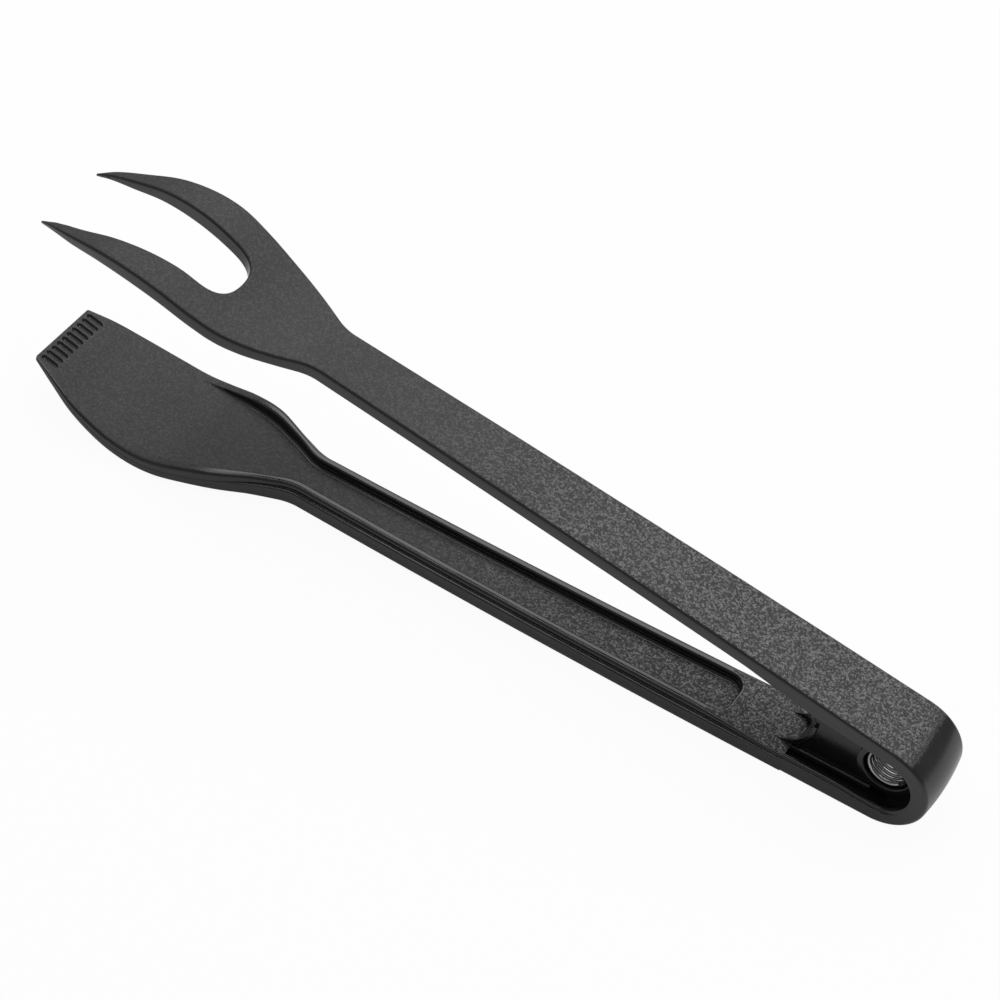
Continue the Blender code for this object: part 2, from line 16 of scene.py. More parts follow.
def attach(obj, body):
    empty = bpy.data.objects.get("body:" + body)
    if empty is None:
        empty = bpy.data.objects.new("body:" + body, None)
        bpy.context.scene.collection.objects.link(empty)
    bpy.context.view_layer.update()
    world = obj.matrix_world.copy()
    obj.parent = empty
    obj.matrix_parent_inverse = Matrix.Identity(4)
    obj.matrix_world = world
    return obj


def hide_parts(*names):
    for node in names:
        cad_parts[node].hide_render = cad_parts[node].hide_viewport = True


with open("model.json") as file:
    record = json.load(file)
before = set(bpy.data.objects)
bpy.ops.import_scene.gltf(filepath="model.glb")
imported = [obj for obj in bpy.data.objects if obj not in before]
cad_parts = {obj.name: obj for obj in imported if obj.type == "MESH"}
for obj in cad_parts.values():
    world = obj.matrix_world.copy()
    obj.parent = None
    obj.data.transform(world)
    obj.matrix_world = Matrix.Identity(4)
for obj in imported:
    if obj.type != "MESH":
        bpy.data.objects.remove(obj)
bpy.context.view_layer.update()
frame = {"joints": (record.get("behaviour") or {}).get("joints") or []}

bl_info = {
    "name": "Kitchen Tongs",
    "version": (1, 0, 0),
    "blender": (4, 5, 0),
    "location": "View3D > Sidebar > Tongs",
    "description": "Nylon tongs with a fork arm, a turner arm and a sprung hinge",
    "category": "Object",
}

HINGE = Vector(frame["joints"][0]["pos_m"])
REST_TILT = 0.0184  # radians, by which the turner arm tips to lie on its blade

# Head outlines: shares of the head's length from the neck, and of the size that each table follows
TURNER_WIDTH_SHARES = (
    (0.0, 0.43), (0.13, 0.65), (0.23, 0.82), (0.35, 0.94), (0.46, 0.995), (0.56, 1.0),
    (0.67, 0.975), (0.81, 0.88), (0.91, 0.755), (1.0, 0.62),
)
TURNER_SAG_SHARES = (
    (0.0, 0.0), (0.13, 0.0), (0.23, 0.15), (0.35, 0.48), (0.46, 0.86), (0.56, 1.0),
    (0.67, 0.8), (0.81, 0.26), (0.91, -0.32), (1.0, -0.71),
)
TURNER_THICKNESS_SHARES = (
    (0.0, 1.0), (0.3, 0.94), (0.55, 0.83), (0.72, 0.76), (0.88, 0.54), (1.0, 0.21),
)
TURNER_CHANNEL_SHARES = (
    (0.0, 1.0), (0.08, 1.19), (0.17, 1.37), (0.27, 1.26), (0.35, 1.07), (0.43, 0.78),
    (0.51, 0.28), (0.56, 0.0), (0.6, -0.5),
)
FORK_WIDTH_SHARES = (
    (0.0, 0.43), (0.11, 0.645), (0.2, 0.79), (0.29, 0.895), (0.38, 0.96), (0.5, 1.0),
    (0.61, 0.985), (0.73, 0.925), (0.84, 0.82), (0.94, 0.705), (1.0, 0.61),
)
FORK_RISE_SHARES = (
    (0.0, 0.0), (0.11, -0.01), (0.2, 0.04), (0.29, 0.21), (0.38, 0.54), (0.5, 0.97),
    (0.61, 1.0), (0.73, 0.66), (0.84, 0.0), (0.94, -0.67), (1.0, -1.24),
)
FORK_THICKNESS_SHARES = (
    (0.0, 1.0), (0.15, 0.8), (0.38, 0.77), (0.61, 0.79), (0.84, 0.55), (0.93, 0.34), (1.0, 0.14),
)
FORK_CHANNEL_SHARES = ((0.0, 1.0), (0.1, 0.8), (0.2, 0.35), (0.28, -0.2))
# Half widths of the gap between the tines, against the square root of the share along it
GAP_SHARES = (
    (0.0, 0.0), (0.042, 0.155), (0.084, 0.3), (0.128, 0.42), (0.174, 0.52), (0.222, 0.605),
    (0.272, 0.672), (0.348, 0.735), (0.49, 0.785), (0.64, 0.87), (0.768, 0.945), (0.872, 0.99), (1.0, 1.0),
)
CHANNEL_CORNER_SHARES = (0.0, 0.02, 0.06, 0.13, 0.23, 0.36, 0.52, 0.74, 1.0)
GROOVE_END_SHARES = (0.0, 0.1, 0.28, 0.55, 1.0)
EASE_SHARES = (-1.0, -0.75, -0.5, -0.25, 0.0, 0.25, 0.5, 0.75, 1.0)

# Sizes of the moulding's small features, in metres
CLEARANCE = 0.0003  # between pieces that touch
SEAM = 0.0001  # between the hood's leg and the turner arm
OVERRUN = 0.003  # how far a cut passes the surface that it opens
WELD = 0.000004  # points nearer than this become one
TURNER_BOW = 0.00155  # how far the handle's back bulges between hinge and neck
FORK_BOW = 0.0007
FAINT_LEDGE = 0.0001
LEG_LEDGE = 0.0006  # of the hood's lower leg, and of the arm where it meets the leg
LEDGE_FULL = 0.05
NECK_EASE = 0.003  # the corner at the neck is rounded over this much to each side
RIM_RAISE = 0.0009  # how far the turner arm's rims stand over its inner face
RAISE_START = 0.03
RAISE_FULL = 0.058
TURNER_CORNER = 0.0004  # outer corners of the blade, seen from above
CHANNEL_CORNER = 0.004
CHANNEL_ROUND = 0.0007
CHANNEL_STEP_WIDTH = 0.0002
CHANNEL_STEP_HEIGHT = 0.0013
CHANNEL_FLOOR_ROUND = 0.0009
RIM_NARROWED = 0.0005  # how much narrower the rims are in the heads
GAP_ROUND = 0.0011
GAP_CLEAR_BEFORE = 0.0014  # no station of the head lies this near the gap's root
GAP_CLEAR_AFTER = 0.0018
CUT_ROUND = 0.0003  # of the edges that a cut leaves
FINE_ROUND = 0.00014
BORE_ROUND = 0.00035
HOOD_THICKNESS = 0.0051
HOOD_WALL = 0.0017
HOOD_FLOOR = 0.00284
HOOD_CROWN = 0.00068
CAVITY_END = 0.022
LEDGE_END = 0.05
SEAT_LIP = 0.003
BARREL_WALL = 0.00125
BARREL_HALF_LENGTH = 0.0056
COLLAR_HEIGHT = 0.00055
COLLAR_WIDTH = 0.0007
RAMP_DISTANCE = 0.0332  # hinge axis to the middle of the lug's round front
RAMP_HEIGHT = 0.002
RAMP_RADIUS = 0.0111
POCKET_DISTANCE = 0.0292  # hinge axis to the middle of the pocket's round end
POCKET_HALF_WIDTH = 0.0049
POCKET_SINK = 0.00003  # of its floor under the arm's inner face
LUG_TOP_FRONT = 0.0062
LUG_TOP_REAR = 0.0048
LUG_ROOT = 0.006
LIP_HALF_WIDTH = 0.0053
LIP_HEIGHT = 0.0013
LIP_PROUD = 0.0002  # of the lips over the web's front
LIP_ROOT = 0.0008
LIP_ROUND = 0.00018
FOOT_HALF_WIDTH = 0.0057
FOOT_THICKNESS = 0.002
FOOT_ROUND = 0.0009
FOOT_END = 0.003
WEB_END = 0.0034
SPRING_HALF_LENGTH = 0.0042
SPRING_TURNER_LEG = 0.03
SPRING_FORK_LEG = 0.025
GROOVE_FRONT = 0.0009  # land between the grooves and the blade's edge
GROOVE_END = 0.0009  # length of each groove's narrowing ends

# Shares and angles
TURNER_PLATE_SHARE = 0.83  # of the arm's thickness, from its back to the ledge
BLADE_PLATE_SHARE = 0.52
BLADE_ROLL_SHARE = 0.15  # how much wider the rim's rounding is along the blade
ROLL_FULL_SHARE = 0.4  # of the head's length
FORK_PLATE_SHARE = 0.72
BACK_ROUND_LIMIT_SHARE = 0.3
RIM_ROUND_LIMIT_SHARE = 0.65
LEDGE_ROUND_SHARE = 0.6
TINE_ROUND_SHARE = 0.33  # of the tine's thickness, at most
TINE_WIDTH_ROUND_SHARE = 0.4
CLOSE_SHARE = 0.25  # rim points nearer than this much of the rounding become one
RAISE_FADE_START_SHARE = 0.2  # of the head's length
RAISE_FADE_END_SHARE = 0.55
STEP_FADE_SHARE = 0.05
RIM_NARROWED_SHARE = 0.12
LEDGE_FADE_SHARE = 0.3
CREST_SHARES = (-0.8, -0.6, -0.4, -0.2, 0.0, 0.2, 0.4, 0.6, 0.8)
SPRING_LEAD_SHARE = 0.4
RIGHT_ANGLE = math.pi / 2
LEDGE_FADE_START = math.radians(-80)
LEDGE_FADE_END = math.radians(-40)
SEAT_LOW_ANGLE = math.radians(-80)
LIP_TURN = math.radians(-42)
FAINT_SHARE = 0.05
GROOVE_SHARPNESS = 1.2
FLAT_ENOUGH = 0.8  # cosine to an arm's own up, over which a face is spark-eroded
BEND_TEXTURE_START = math.radians(48)
BEND_TEXTURE_END = math.radians(72)
GRAIN_COARSE = 0.05  # distance from the hinge in metres, up to which the grain is coarse
GRAIN_SOFT = 0.17  # and from which it is soft
SOFT_GRAIN_SHARE = 0.17
SPARK_HEIGHT_SHARE = 0.45  # of the grain's size
SPARK_GLOSS = -0.5  # what the tips of the coarsest grain add to the roughness
NYLON_IOR = 1.56
GRAINS_PER_SPARK = 1.3
SMOOTH_ANGLE = math.radians(35)
RIM_ANGLE = math.radians(15)
FLAT_ANGLE = math.radians(0.25)

# How finely the forms are drawn
ROUND_STEPS = 6
SMALL_ROUND_STEPS = 3
CUT_ROUND_STEPS = 5
NECK_STEPS = 8
GAP_STEPS = 56
POCKET_STEPS = 24
LEG_STEPS = 6
BEND_STEPS = 54
HANDLE_STEPS = 40
HEAD_STEPS = 64
CORNER_STEPS = 6
RAMP_STEPS = 28
TURN_SEGMENTS = 96
COIL_POINTS_PER_TURN = 48


def length(name, default, description):
    """A size that a user may change, in metres."""
    return bpy.props.FloatProperty(
        name=name, description=description, default=default, min=0, precision=5, unit="LENGTH"
    )


def share(name, default, description):
    return bpy.props.FloatProperty(
        name=name, description=description, default=default, min=0, max=1, subtype="FACTOR"
    )


def colour(name, default, description):
    return bpy.props.FloatVectorProperty(
        name=name, description=description, default=default, size=3, min=0, max=1, subtype="COLOR"
    )


class TongsSizes(bpy.types.PropertyGroup):
    """Sizes of both arms and of the spring between them."""

    reach: length("Reach", 0.2715, "Hinge axis to the tips of both arms")
    neck_distance: length("Neck Distance", 0.1848, "Hinge axis to the neck of each head")
    hinge_radius: length("Hinge Radius", 0.0143, "Hinge axis to the back of the hood")
    hinge_half_width: length("Hinge Half Width", 0.0112, "Half the handle's width at the hinge")
    neck_half_width: length("Neck Half Width", 0.00885, "Half the handle's width at the neck")
    open_angle: bpy.props.FloatProperty(
        name="Open Angle",
        description="Between the two handles at rest",
        default=math.radians(9.25),
        unit="ROTATION",
    )
    leg_length: length("Leg Length", 0.0263, "How far the hood's lower leg reaches")
    handle_thickness: length("Handle Thickness", 0.0061, "Back to inner face")
    back_round: length("Back Rounding", 0.0012, "Rounding along the edges of each back")
    rim_round: length("Rim Rounding", 0.0014, "Rounding along the outer edges of each rim")
    ledge_width: length("Ledge Width", 0.00125, "Step between the back plate and the raised rim")
    channel_start: length("Channel Start", 0.0463, "Hinge axis to the channel's rounded end")
    channel_depth: length("Channel Depth", 0.0020, "Depth of the channel in each inner face")
    rim_width: length("Rim Width", 0.0039, "Side of the arm to the channel's wall")
    turner_half_width: length("Turner Half Width", 0.0201, "Half the turner blade's width")
    turner_sag: length("Turner Sag", 0.0056, "How far the blade's middle hangs down")
    fork_half_width: length("Fork Half Width", 0.02047, "Half the fork head's width")
    fork_rise: length("Fork Rise", 0.00577, "How far the fork head's back rises")
    gap_start: length("Gap Start", 0.2143, "Hinge axis to the root of the gap between the tines")
    gap_half_width: length("Gap Half Width", 0.012, "Half the gap between the tips of the tines")
    groove_count: bpy.props.IntProperty(
        name="Grooves", description="Grooves at the turner's front edge", default=10, min=0
    )
    groove_pitch: length("Groove Pitch", 0.00235, "Distance between neighbouring grooves")
    groove_width: length("Groove Width", 0.00165, "Width of each groove")
    groove_depth: length("Groove Depth", 0.0009, "Depth of each groove")
    groove_length: length("Groove Length", 0.0057, "Length of each groove")
    lug_half_thickness: length("Lug Half Thickness", 0.0043, "Half the thickness of the lug's web")
    bore_radius: length("Bore Radius", 0.00665, "Radius of the barrel that holds the spring")
    wire_radius: length("Wire Radius", 0.00065, "Radius of the spring's wire")
    spring_turns: bpy.props.IntProperty(
        name="Spring Turns", description="Whole turns of the spring", default=6, min=1
    )


class TongsFinish(bpy.types.PropertyGroup):
    """Colours and surfaces."""

    nylon: colour("Nylon", (0.009, 0.009, 0.0098), "Colour of the black nylon")
    nylon_dust: colour("Nylon Dust", (0.022, 0.022, 0.0235), "Colour of its scuffs and worn edges")
    # Painted glint: a lighter colour painted on the grain's tips, where the spark-eroded faces would catch the
    # light.
    painted_grain_glint: colour("Nylon Grain", (0.072, 0.072, 0.076), "Colour of the grain's bright tips")
    nylon_roughness: share("Nylon Roughness", 0.22, "Roughness of its smooth faces")
    textured_roughness: share("Textured Roughness", 0.7, "Roughness of its spark-eroded faces")
    fine_grain: length("Fine Grain", 0.0004, "Size of the grain on the smooth faces")
    spark_grain: length("Spark Grain", 0.00065, "Size of the grain on the spark-eroded faces")
    edge_wear: length("Edge Wear", 0.0004, "Width of the polish along the edges")
    steel: colour("Spring Steel", (0.5, 0.5, 0.51), "Colour of the spring's wire")
    steel_roughness: share("Steel Roughness", 0.15, "Roughness of the drawn wire")


class TongsStudio(bpy.types.PropertyGroup):
    """The surface, the lamps and the camera."""

    surface: colour("Surface", (0.64, 0.64, 0.64), "Colour of the pale surface")
    softbox_radiance: bpy.props.FloatProperty(
        name="Softbox", description="Brightness of the overhead softbox", default=2.3, min=0
    )
    fill: bpy.props.FloatProperty(
        name="Fill", description="Brightness of the room around", default=0.25, min=0
    )
    lens: bpy.props.FloatProperty(
        name="Lens", description="Focal length in millimetres", default=100.8, min=1
    )


def even(start, end, steps):
    """Evenly spaced values from start to end."""
    return [start + (end - start) * k / steps for k in range(steps + 1)]


def smooth_step(along, start, end):
    """A share that rises smoothly from 0 at start to 1 at end."""
    t = min(max((along - start) / (end - start), 0), 1)
    return t * t * (3 - 2 * t)


def curve(shares, along):
    """The smooth curve through a table of (place, value) shares, read at one place."""
    places = [place for place, _ in shares]
    values = [value for _, value in shares]
    if along <= places[0]:
        return values[0]
    if along >= places[-1]:
        return values[-1]
    last = len(places) - 1
    slopes = []
    for i in range(last + 1):
        low = max(i - 1, 0)
        high = min(i + 1, last)
        slopes.append((values[high] - values[low]) / (places[high] - places[low]))
    i = max(k for k in range(last) if places[k] <= along)
    step = places[i + 1] - places[i]
    t = (along - places[i]) / step
    rise = t * t * (3 - 2 * t)
    start = t * (1 - t) ** 2 * step * slopes[i]
    end = t * t * (t - 1) * step * slopes[i + 1]
    return values[i] + rise * (values[i + 1] - values[i]) + start + end


def arc(centre, radius, start, end, steps):
    """Points round part of a circle, from one angle to another."""
    x, y = centre
    return [(x + radius * math.cos(a), y + radius * math.sin(a)) for a in even(start, end, steps)]


def mirrored(side):
    """A closed outline from its +y side, which is copied to -y."""
    return side + [(-y, h) for y, h in reversed(side)]


class Arm:
    """Outline of one arm, in arm coordinates."""

    corner = 0.0

    def __init__(self, size):
        self.size = size
        self.head_length = size.reach - size.neck_distance

    def head_share(self, s):
        return (s - self.size.neck_distance) / self.head_length

    def in_handle(self, s):
        return s < self.size.neck_distance

    def eased(self, outline, s):
        """An outline's value at s, with its corner at the neck rounded off."""
        if abs(s - self.size.neck_distance) >= NECK_EASE:
            return outline(s)
        return sum(outline(s + NECK_EASE * place) for place in EASE_SHARES) / len(EASE_SHARES)

    def half_width(self, s):
        return self.eased(self.plain_half_width, s) - self.corner_drawn_in(s)

    def thickness(self, s):
        return self.eased(self.plain_thickness, s)

    def back(self, s):
        return self.eased(self.plain_back, s)

    def inner(self, s):
        return self.back(s) - self.thickness(s)

    def raised(self, s):
        return 0.0

    def plate_share(self, s):
        return FORK_PLATE_SHARE

    def rim_round(self, s):
        return self.size.rim_round

    def handle_half_width(self, s):
        size = self.size
        narrowing = (size.neck_half_width - size.hinge_half_width) * max(s, 0) / size.neck_distance
        return size.hinge_half_width + narrowing

    def handle_back(self, s, bow):
        t = max(s, 0) / self.size.neck_distance
        return self.size.hinge_radius + bow * 4 * t * (1 - t)

    def corner_drawn_in(self, s):
        """How far the rounded corner at the tip narrows the head."""
        run = max(s - (self.size.reach - self.corner), 0)
        return self.corner - math.sqrt(max(self.corner ** 2 - run ** 2, 0))

    def channel_depth(self, s):
        return self.size.channel_depth * curve(self.channel_shares, self.head_share(s))

    def rings(self, stations):
        rings = []
        for s in stations:
            outline = arm_outline(
                self.size, self.half_width(s), self.back(s), self.thickness(s), self.ledge(s),
                self.plate_share(s), self.rim_round(s), raised=self.raised(s),
            )
            rings.append([self.point(s, y, h) for y, h in outline])
        return rings

    def stations(self, start, end):
        """Stations from start to end, closer together round the neck and in the head."""
        near = self.size.neck_distance - NECK_EASE
        far = self.size.neck_distance + NECK_EASE
        handle = even(start, near, HANDLE_STEPS)
        return handle + even(near, far, NECK_STEPS)[1:] + even(far, end, HEAD_STEPS)[1:]

    def arm_stations(self):
        """Stations from the channel's rounded end to the tip, closer together round its corners."""
        size = self.size
        stations = self.stations(size.channel_start + CHANNEL_CORNER + CHANNEL_ROUND, size.reach - self.corner)
        turns = even(0, RIGHT_ANGLE, CORNER_STEPS)[1:] if self.corner else []
        return stations + [size.reach - self.corner + self.corner * math.sin(turn) for turn in turns]


class TurnerArm(Arm):
    """The lower arm, which ends in a blade."""

    channel_shares = TURNER_CHANNEL_SHARES
    corner = TURNER_CORNER

    def plain_half_width(self, s):
        if self.in_handle(s):
            return self.handle_half_width(s)
        return self.size.turner_half_width * curve(TURNER_WIDTH_SHARES, self.head_share(s))

    def plain_thickness(self, s):
        if self.in_handle(s):
            return self.size.handle_thickness
        return self.size.handle_thickness * curve(TURNER_THICKNESS_SHARES, self.head_share(s))

    def plain_back(self, s):
        size = self.size
        if self.in_handle(s):
            return self.handle_back(s, TURNER_BOW)
        sag = size.turner_sag * curve(TURNER_SAG_SHARES, self.head_share(s))
        return size.hinge_radius - size.handle_thickness + sag + self.plain_thickness(s)

    def ledge(self, s):
        full = smooth_step(s, self.size.leg_length, LEDGE_FULL)
        full = LEG_LEDGE + (self.size.ledge_width - LEG_LEDGE) * full
        faded = smooth_step(self.head_share(s), 0, LEDGE_FADE_SHARE)
        return full + (FAINT_LEDGE - full) * faded

    def raised(self, s):
        faded = smooth_step(self.head_share(s), RAISE_FADE_START_SHARE, RAISE_FADE_END_SHARE)
        return RIM_RAISE * smooth_step(s, RAISE_START, RAISE_FULL) * (1 - faded)

    def plate_share(self, s):
        in_head = smooth_step(self.head_share(s), 0, ROLL_FULL_SHARE)
        return TURNER_PLATE_SHARE + (BLADE_PLATE_SHARE - TURNER_PLATE_SHARE) * in_head

    def rim_round(self, s):
        in_head = smooth_step(self.head_share(s), 0, ROLL_FULL_SHARE)
        return self.size.rim_round * (1 + BLADE_ROLL_SHARE * in_head)

    def point(self, s, y, h):
        return Vector((-s, y, -h))

    def along(self, place):
        return -place.x


class ForkArm(Arm):
    """The upper arm, which ends in two tines."""

    channel_shares = FORK_CHANNEL_SHARES

    def plain_half_width(self, s):
        if self.in_handle(s):
            return self.handle_half_width(s)
        return self.size.fork_half_width * curve(FORK_WIDTH_SHARES, self.head_share(s))

    def plain_thickness(self, s):
        full = self.size.handle_thickness
        if self.in_handle(s):
            return HOOD_THICKNESS + (full - HOOD_THICKNESS) * smooth_step(s, 0, CAVITY_END)
        return full * curve(FORK_THICKNESS_SHARES, self.head_share(s))

    def plain_back(self, s):
        if self.in_handle(s):
            return self.handle_back(s, FORK_BOW)
        rise = self.size.fork_rise * curve(FORK_RISE_SHARES, self.head_share(s))
        return self.size.hinge_radius + rise

    def ledge(self, s):
        full = smooth_step(s, CAVITY_END, LEDGE_END)
        full *= 1 - smooth_step(self.head_share(s), 0, LEDGE_FADE_SHARE)
        return FAINT_LEDGE + (self.size.ledge_width - FAINT_LEDGE) * full

    def gap_half_width(self, s):
        run = self.size.reach - self.size.gap_start
        place = min(max((s - self.size.gap_start) / run, 0), 1)
        return self.size.gap_half_width * curve(GAP_SHARES, math.sqrt(place))

    def arm_stations(self):
        """The stations of every arm, without those that the gap's round root would graze."""
        root = self.size.gap_start
        clear = (root - GAP_CLEAR_BEFORE, root + GAP_CLEAR_AFTER)
        return [s for s in super().arm_stations() if not clear[0] < s < clear[1]]

    def point(self, s, y, h):
        angle = self.size.open_angle
        along = Vector((-math.cos(angle), 0, math.sin(angle)))
        out = Vector((math.sin(angle), 0, math.cos(angle)))
        return along * s + out * h + Vector((0, y, 0))

    def along(self, place):
        return place.dot(self.point(1, 0, 0))


def bend_point(angle, y, h):
    """A point of the hood's bend, at an angle from +X towards +Z."""
    return Vector((h * math.cos(angle), y, h * math.sin(angle)))


def leg_point(x, y, h):
    return Vector((x, y, -h))


def arm_outline(size, half_width, back, thickness, ledge, plate_share, rim_round, crown=0, raised=0):
    """An arm's cross-section: crowned back plate with rounded edges, ledge, then the raised rim."""
    back_round = min(size.back_round, thickness * BACK_ROUND_LIMIT_SHARE)
    plate = back - thickness * plate_share
    inner = back - thickness - raised
    rim_round = min(rim_round, (plate - inner) * RIM_ROUND_LIMIT_SHARE)
    rim = half_width - ledge
    flat = half_width - back_round
    ledge_round = ledge * LEDGE_ROUND_SHARE
    side = arc((flat, back - back_round), back_round, RIGHT_ANGLE, 0, ROUND_STEPS)
    ledge_centre = (half_width - ledge_round, plate + ledge_round)
    side += arc(ledge_centre, ledge_round, 0, -RIGHT_ANGLE, SMALL_ROUND_STEPS)
    side += [(rim, plate)]
    side += arc((rim - rim_round, inner + rim_round), rim_round, 0, -RIGHT_ANGLE, ROUND_STEPS)
    crest = [(flat * place, back + crown * (1 - place * place)) for place in CREST_SHARES]
    return mirrored(side) + crest


def box_outline(half_width, low, high):
    return [(half_width, high), (half_width, low), (-half_width, low), (-half_width, high)]


def deselect_all():
    bpy.ops.object.select_all(action="DESELECT")


def pick(piece):
    """Makes a piece the only selected and the active object."""
    deselect_all()
    piece.select_set(True)
    bpy.context.view_layer.objects.active = piece


def shape_selected(piece, points):
    """Moves the selected points of a piece in edit mode, in their own order."""
    mesh = bmesh.from_edit_mesh(piece.data)
    chosen = [vert for vert in mesh.verts if vert.select]
    for vert, point in zip(chosen, points, strict=True):
        vert.co = point
    bmesh.update_edit_mesh(piece.data)


def finish_faces():
    """In edit mode: welds what touches and turns every face outwards."""
    bpy.ops.mesh.select_all(action="SELECT")
    bpy.ops.mesh.remove_doubles(threshold=WELD)
    bpy.ops.mesh.normals_make_consistent(inside=False)
    bpy.ops.mesh.select_all(action="DESELECT")


def drawn_through(name, rings):
    """A closed body: a flat start shaped to the first ring, then extruded from ring to ring."""
    deselect_all()
    bpy.ops.mesh.primitive_circle_add(vertices=len(rings[0]), fill_type="NGON")
    piece = bpy.context.object
    piece.name = name
    bpy.ops.object.mode_set(mode="EDIT")
    shape_selected(piece, rings[0])
    for ring in rings[1:]:
        bpy.ops.mesh.extrude_region_move()
        shape_selected(piece, ring)
    finish_faces()
    bpy.ops.object.mode_set(mode="OBJECT")
    return piece


def slab(name, outline, low_y, high_y):
    """A flat body with an (x, z) outline, from low_y to high_y."""
    return drawn_through(name, [[Vector((x, y, z)) for x, z in outline] for y in (low_y, high_y)])


def spun(name, outline):
    """A ring turned round the hinge axis from a closed outline of (radius, y) points."""
    deselect_all()
    bpy.ops.mesh.primitive_circle_add(vertices=len(outline), fill_type="NOTHING")
    piece = bpy.context.object
    piece.name = name
    bpy.ops.object.mode_set(mode="EDIT")
    shape_selected(piece, [Vector((radius, y, 0)) for radius, y in outline])
    bpy.ops.mesh.spin(steps=TURN_SEGMENTS, angle=math.tau, center=(0, 0, 0), axis=(0, 1, 0))
    finish_faces()
    bpy.ops.object.mode_set(mode="OBJECT")
    return piece


def combine(piece, tool, operation):
    """Joins the tool to the piece or cuts the piece with it, and uses the tool up."""
    pick(piece)
    bpy.ops.object.modifier_add(type="BOOLEAN")
    modifier = piece.modifiers[-1]
    modifier.operation = operation
    modifier.object = tool
    modifier.material_mode = "INDEX"
    bpy.ops.object.modifier_apply(modifier=modifier.name)
    bpy.data.objects.remove(tool, do_unlink=True)


def mark_faces(piece, slot):
    """Puts all faces of a piece in one material slot, so that they can be told apart after a cut."""
    while len(piece.data.materials) <= slot:
        piece.data.materials.append(None)
    for face in piece.data.polygons:
        face.material_index = slot


def dissolve_flat(piece):
    """Takes out the edges between faces that lie in one plane."""
    pick(piece)
    bpy.ops.object.mode_set(mode="EDIT")
    bpy.ops.mesh.select_all(action="SELECT")
    bpy.ops.mesh.dissolve_limited(angle_limit=FLAT_ANGLE)
    bpy.ops.mesh.select_all(action="DESELECT")
    bpy.ops.object.mode_set(mode="OBJECT")


def rim_edges(mesh):
    """The edges where a cut meets the old faces, which are in the first material slot."""
    for edge in mesh.edges:
        sides = sorted(edge.link_faces, key=lambda face: face.material_index)
        if len(sides) == 2 and sides[0].material_index != sides[1].material_index:
            yield edge, sides[0]


def cut(piece, tool, rounding, share_at=None, steps=CUT_ROUND_STEPS):
    """Cuts the tool out of the piece and rounds the rim, by the share that share_at gives for a place."""
    mark_faces(piece, 0)
    piece.data.materials.append(None)
    mark_faces(tool, 1)
    combine(piece, tool, "DIFFERENCE")
    bpy.ops.object.mode_set(mode="EDIT")
    bpy.ops.mesh.select_mode(type="EDGE")
    mesh = bmesh.from_edit_mesh(piece.data)
    bmesh.ops.remove_doubles(mesh, verts=mesh.verts[:], dist=WELD)
    for edge in mesh.edges:
        edge.select_set(False)
    for edge, _ in rim_edges(mesh):
        edge.select_set(True)
    bmesh.update_edit_mesh(piece.data)
    bpy.ops.mesh.remove_doubles(threshold=rounding * CLOSE_SHARE)
    mesh = bmesh.from_edit_mesh(piece.data)
    weights = mesh.edges.layers.float.get("bevel_weight_edge")
    weights = weights or mesh.edges.layers.float.new("bevel_weight_edge")
    for edge in mesh.edges:
        edge[weights] = 0.0
    for edge, old_face in rim_edges(mesh):
        if edge.calc_face_angle(0) > RIM_ANGLE:
            middle = (edge.verts[0].co + edge.verts[1].co) / 2
            edge[weights] = share_at(middle, old_face.normal) if share_at else 1.0
    bmesh.update_edit_mesh(piece.data)
    bpy.ops.object.mode_set(mode="OBJECT")
    bpy.ops.object.modifier_add(type="BEVEL")
    modifier = piece.modifiers[-1]
    modifier.width = rounding
    modifier.segments = steps
    modifier.limit_method = "WEIGHT"
    modifier.use_clamp_overlap = False
    bpy.ops.object.modifier_apply(modifier=modifier.name)
    bpy.ops.object.mode_set(mode="EDIT")
    bpy.ops.mesh.select_mode(type="VERT")
    finish_faces()
    bpy.ops.object.mode_set(mode="OBJECT")
    mark_faces(piece, 0)


def bevel_corners(piece, rounding, steps=SMALL_ROUND_STEPS):
    """Rounds every sharp edge of a piece."""
    pick(piece)
    bpy.ops.object.modifier_add(type="BEVEL")
    modifier = piece.modifiers[-1]
    modifier.width = rounding
    modifier.segments = steps
    modifier.limit_method = "ANGLE"
    modifier.angle_limit = SMOOTH_ANGLE
    bpy.ops.object.modifier_apply(modifier=modifier.name)


def channel_cutter(arm):
    """The channel's space: a rounded end near the hinge, a fading end in the head."""
    size = arm.size
    stations = []
    for place in CHANNEL_CORNER_SHARES:
        left = CHANNEL_CORNER * (1 - place)
        drawn_in = CHANNEL_CORNER - math.sqrt(CHANNEL_CORNER ** 2 - left ** 2)
        stations.append((size.channel_start + CHANNEL_CORNER * place, drawn_in))
    fade_end = size.neck_distance + arm.head_length * arm.channel_shares[-1][0]
    start = size.channel_start + CHANNEL_CORNER
    stations += [(s, 0) for s in arm.stations(start, fade_end)[1:]]
    rings = []
    for s, drawn_in in stations:
        inner = arm.inner(s)
        floor = inner + arm.channel_depth(s)
        step = 1 - smooth_step(arm.head_share(s), -STEP_FADE_SHARE, STEP_FADE_SHARE)
        rim = size.rim_width - RIM_NARROWED * smooth_step(arm.head_share(s), 0, RIM_NARROWED_SHARE)
        half = arm.half_width(s) - rim - drawn_in
        low_half = half - CHANNEL_STEP_WIDTH * max(step, FAINT_LEDGE)
        corner = (low_half - CHANNEL_FLOOR_ROUND, floor - CHANNEL_FLOOR_ROUND)
        side = arc(corner, CHANNEL_FLOOR_ROUND, RIGHT_ANGLE, 0, SMALL_ROUND_STEPS)
        side += [(low_half, floor - CHANNEL_STEP_HEIGHT), (half, floor - CHANNEL_STEP_HEIGHT)]
        side += [(half, inner - OVERRUN)]
        rings.append([arm.point(s, y, h) for y, h in mirrored(side)])
    return drawn_through("channel_space", rings)


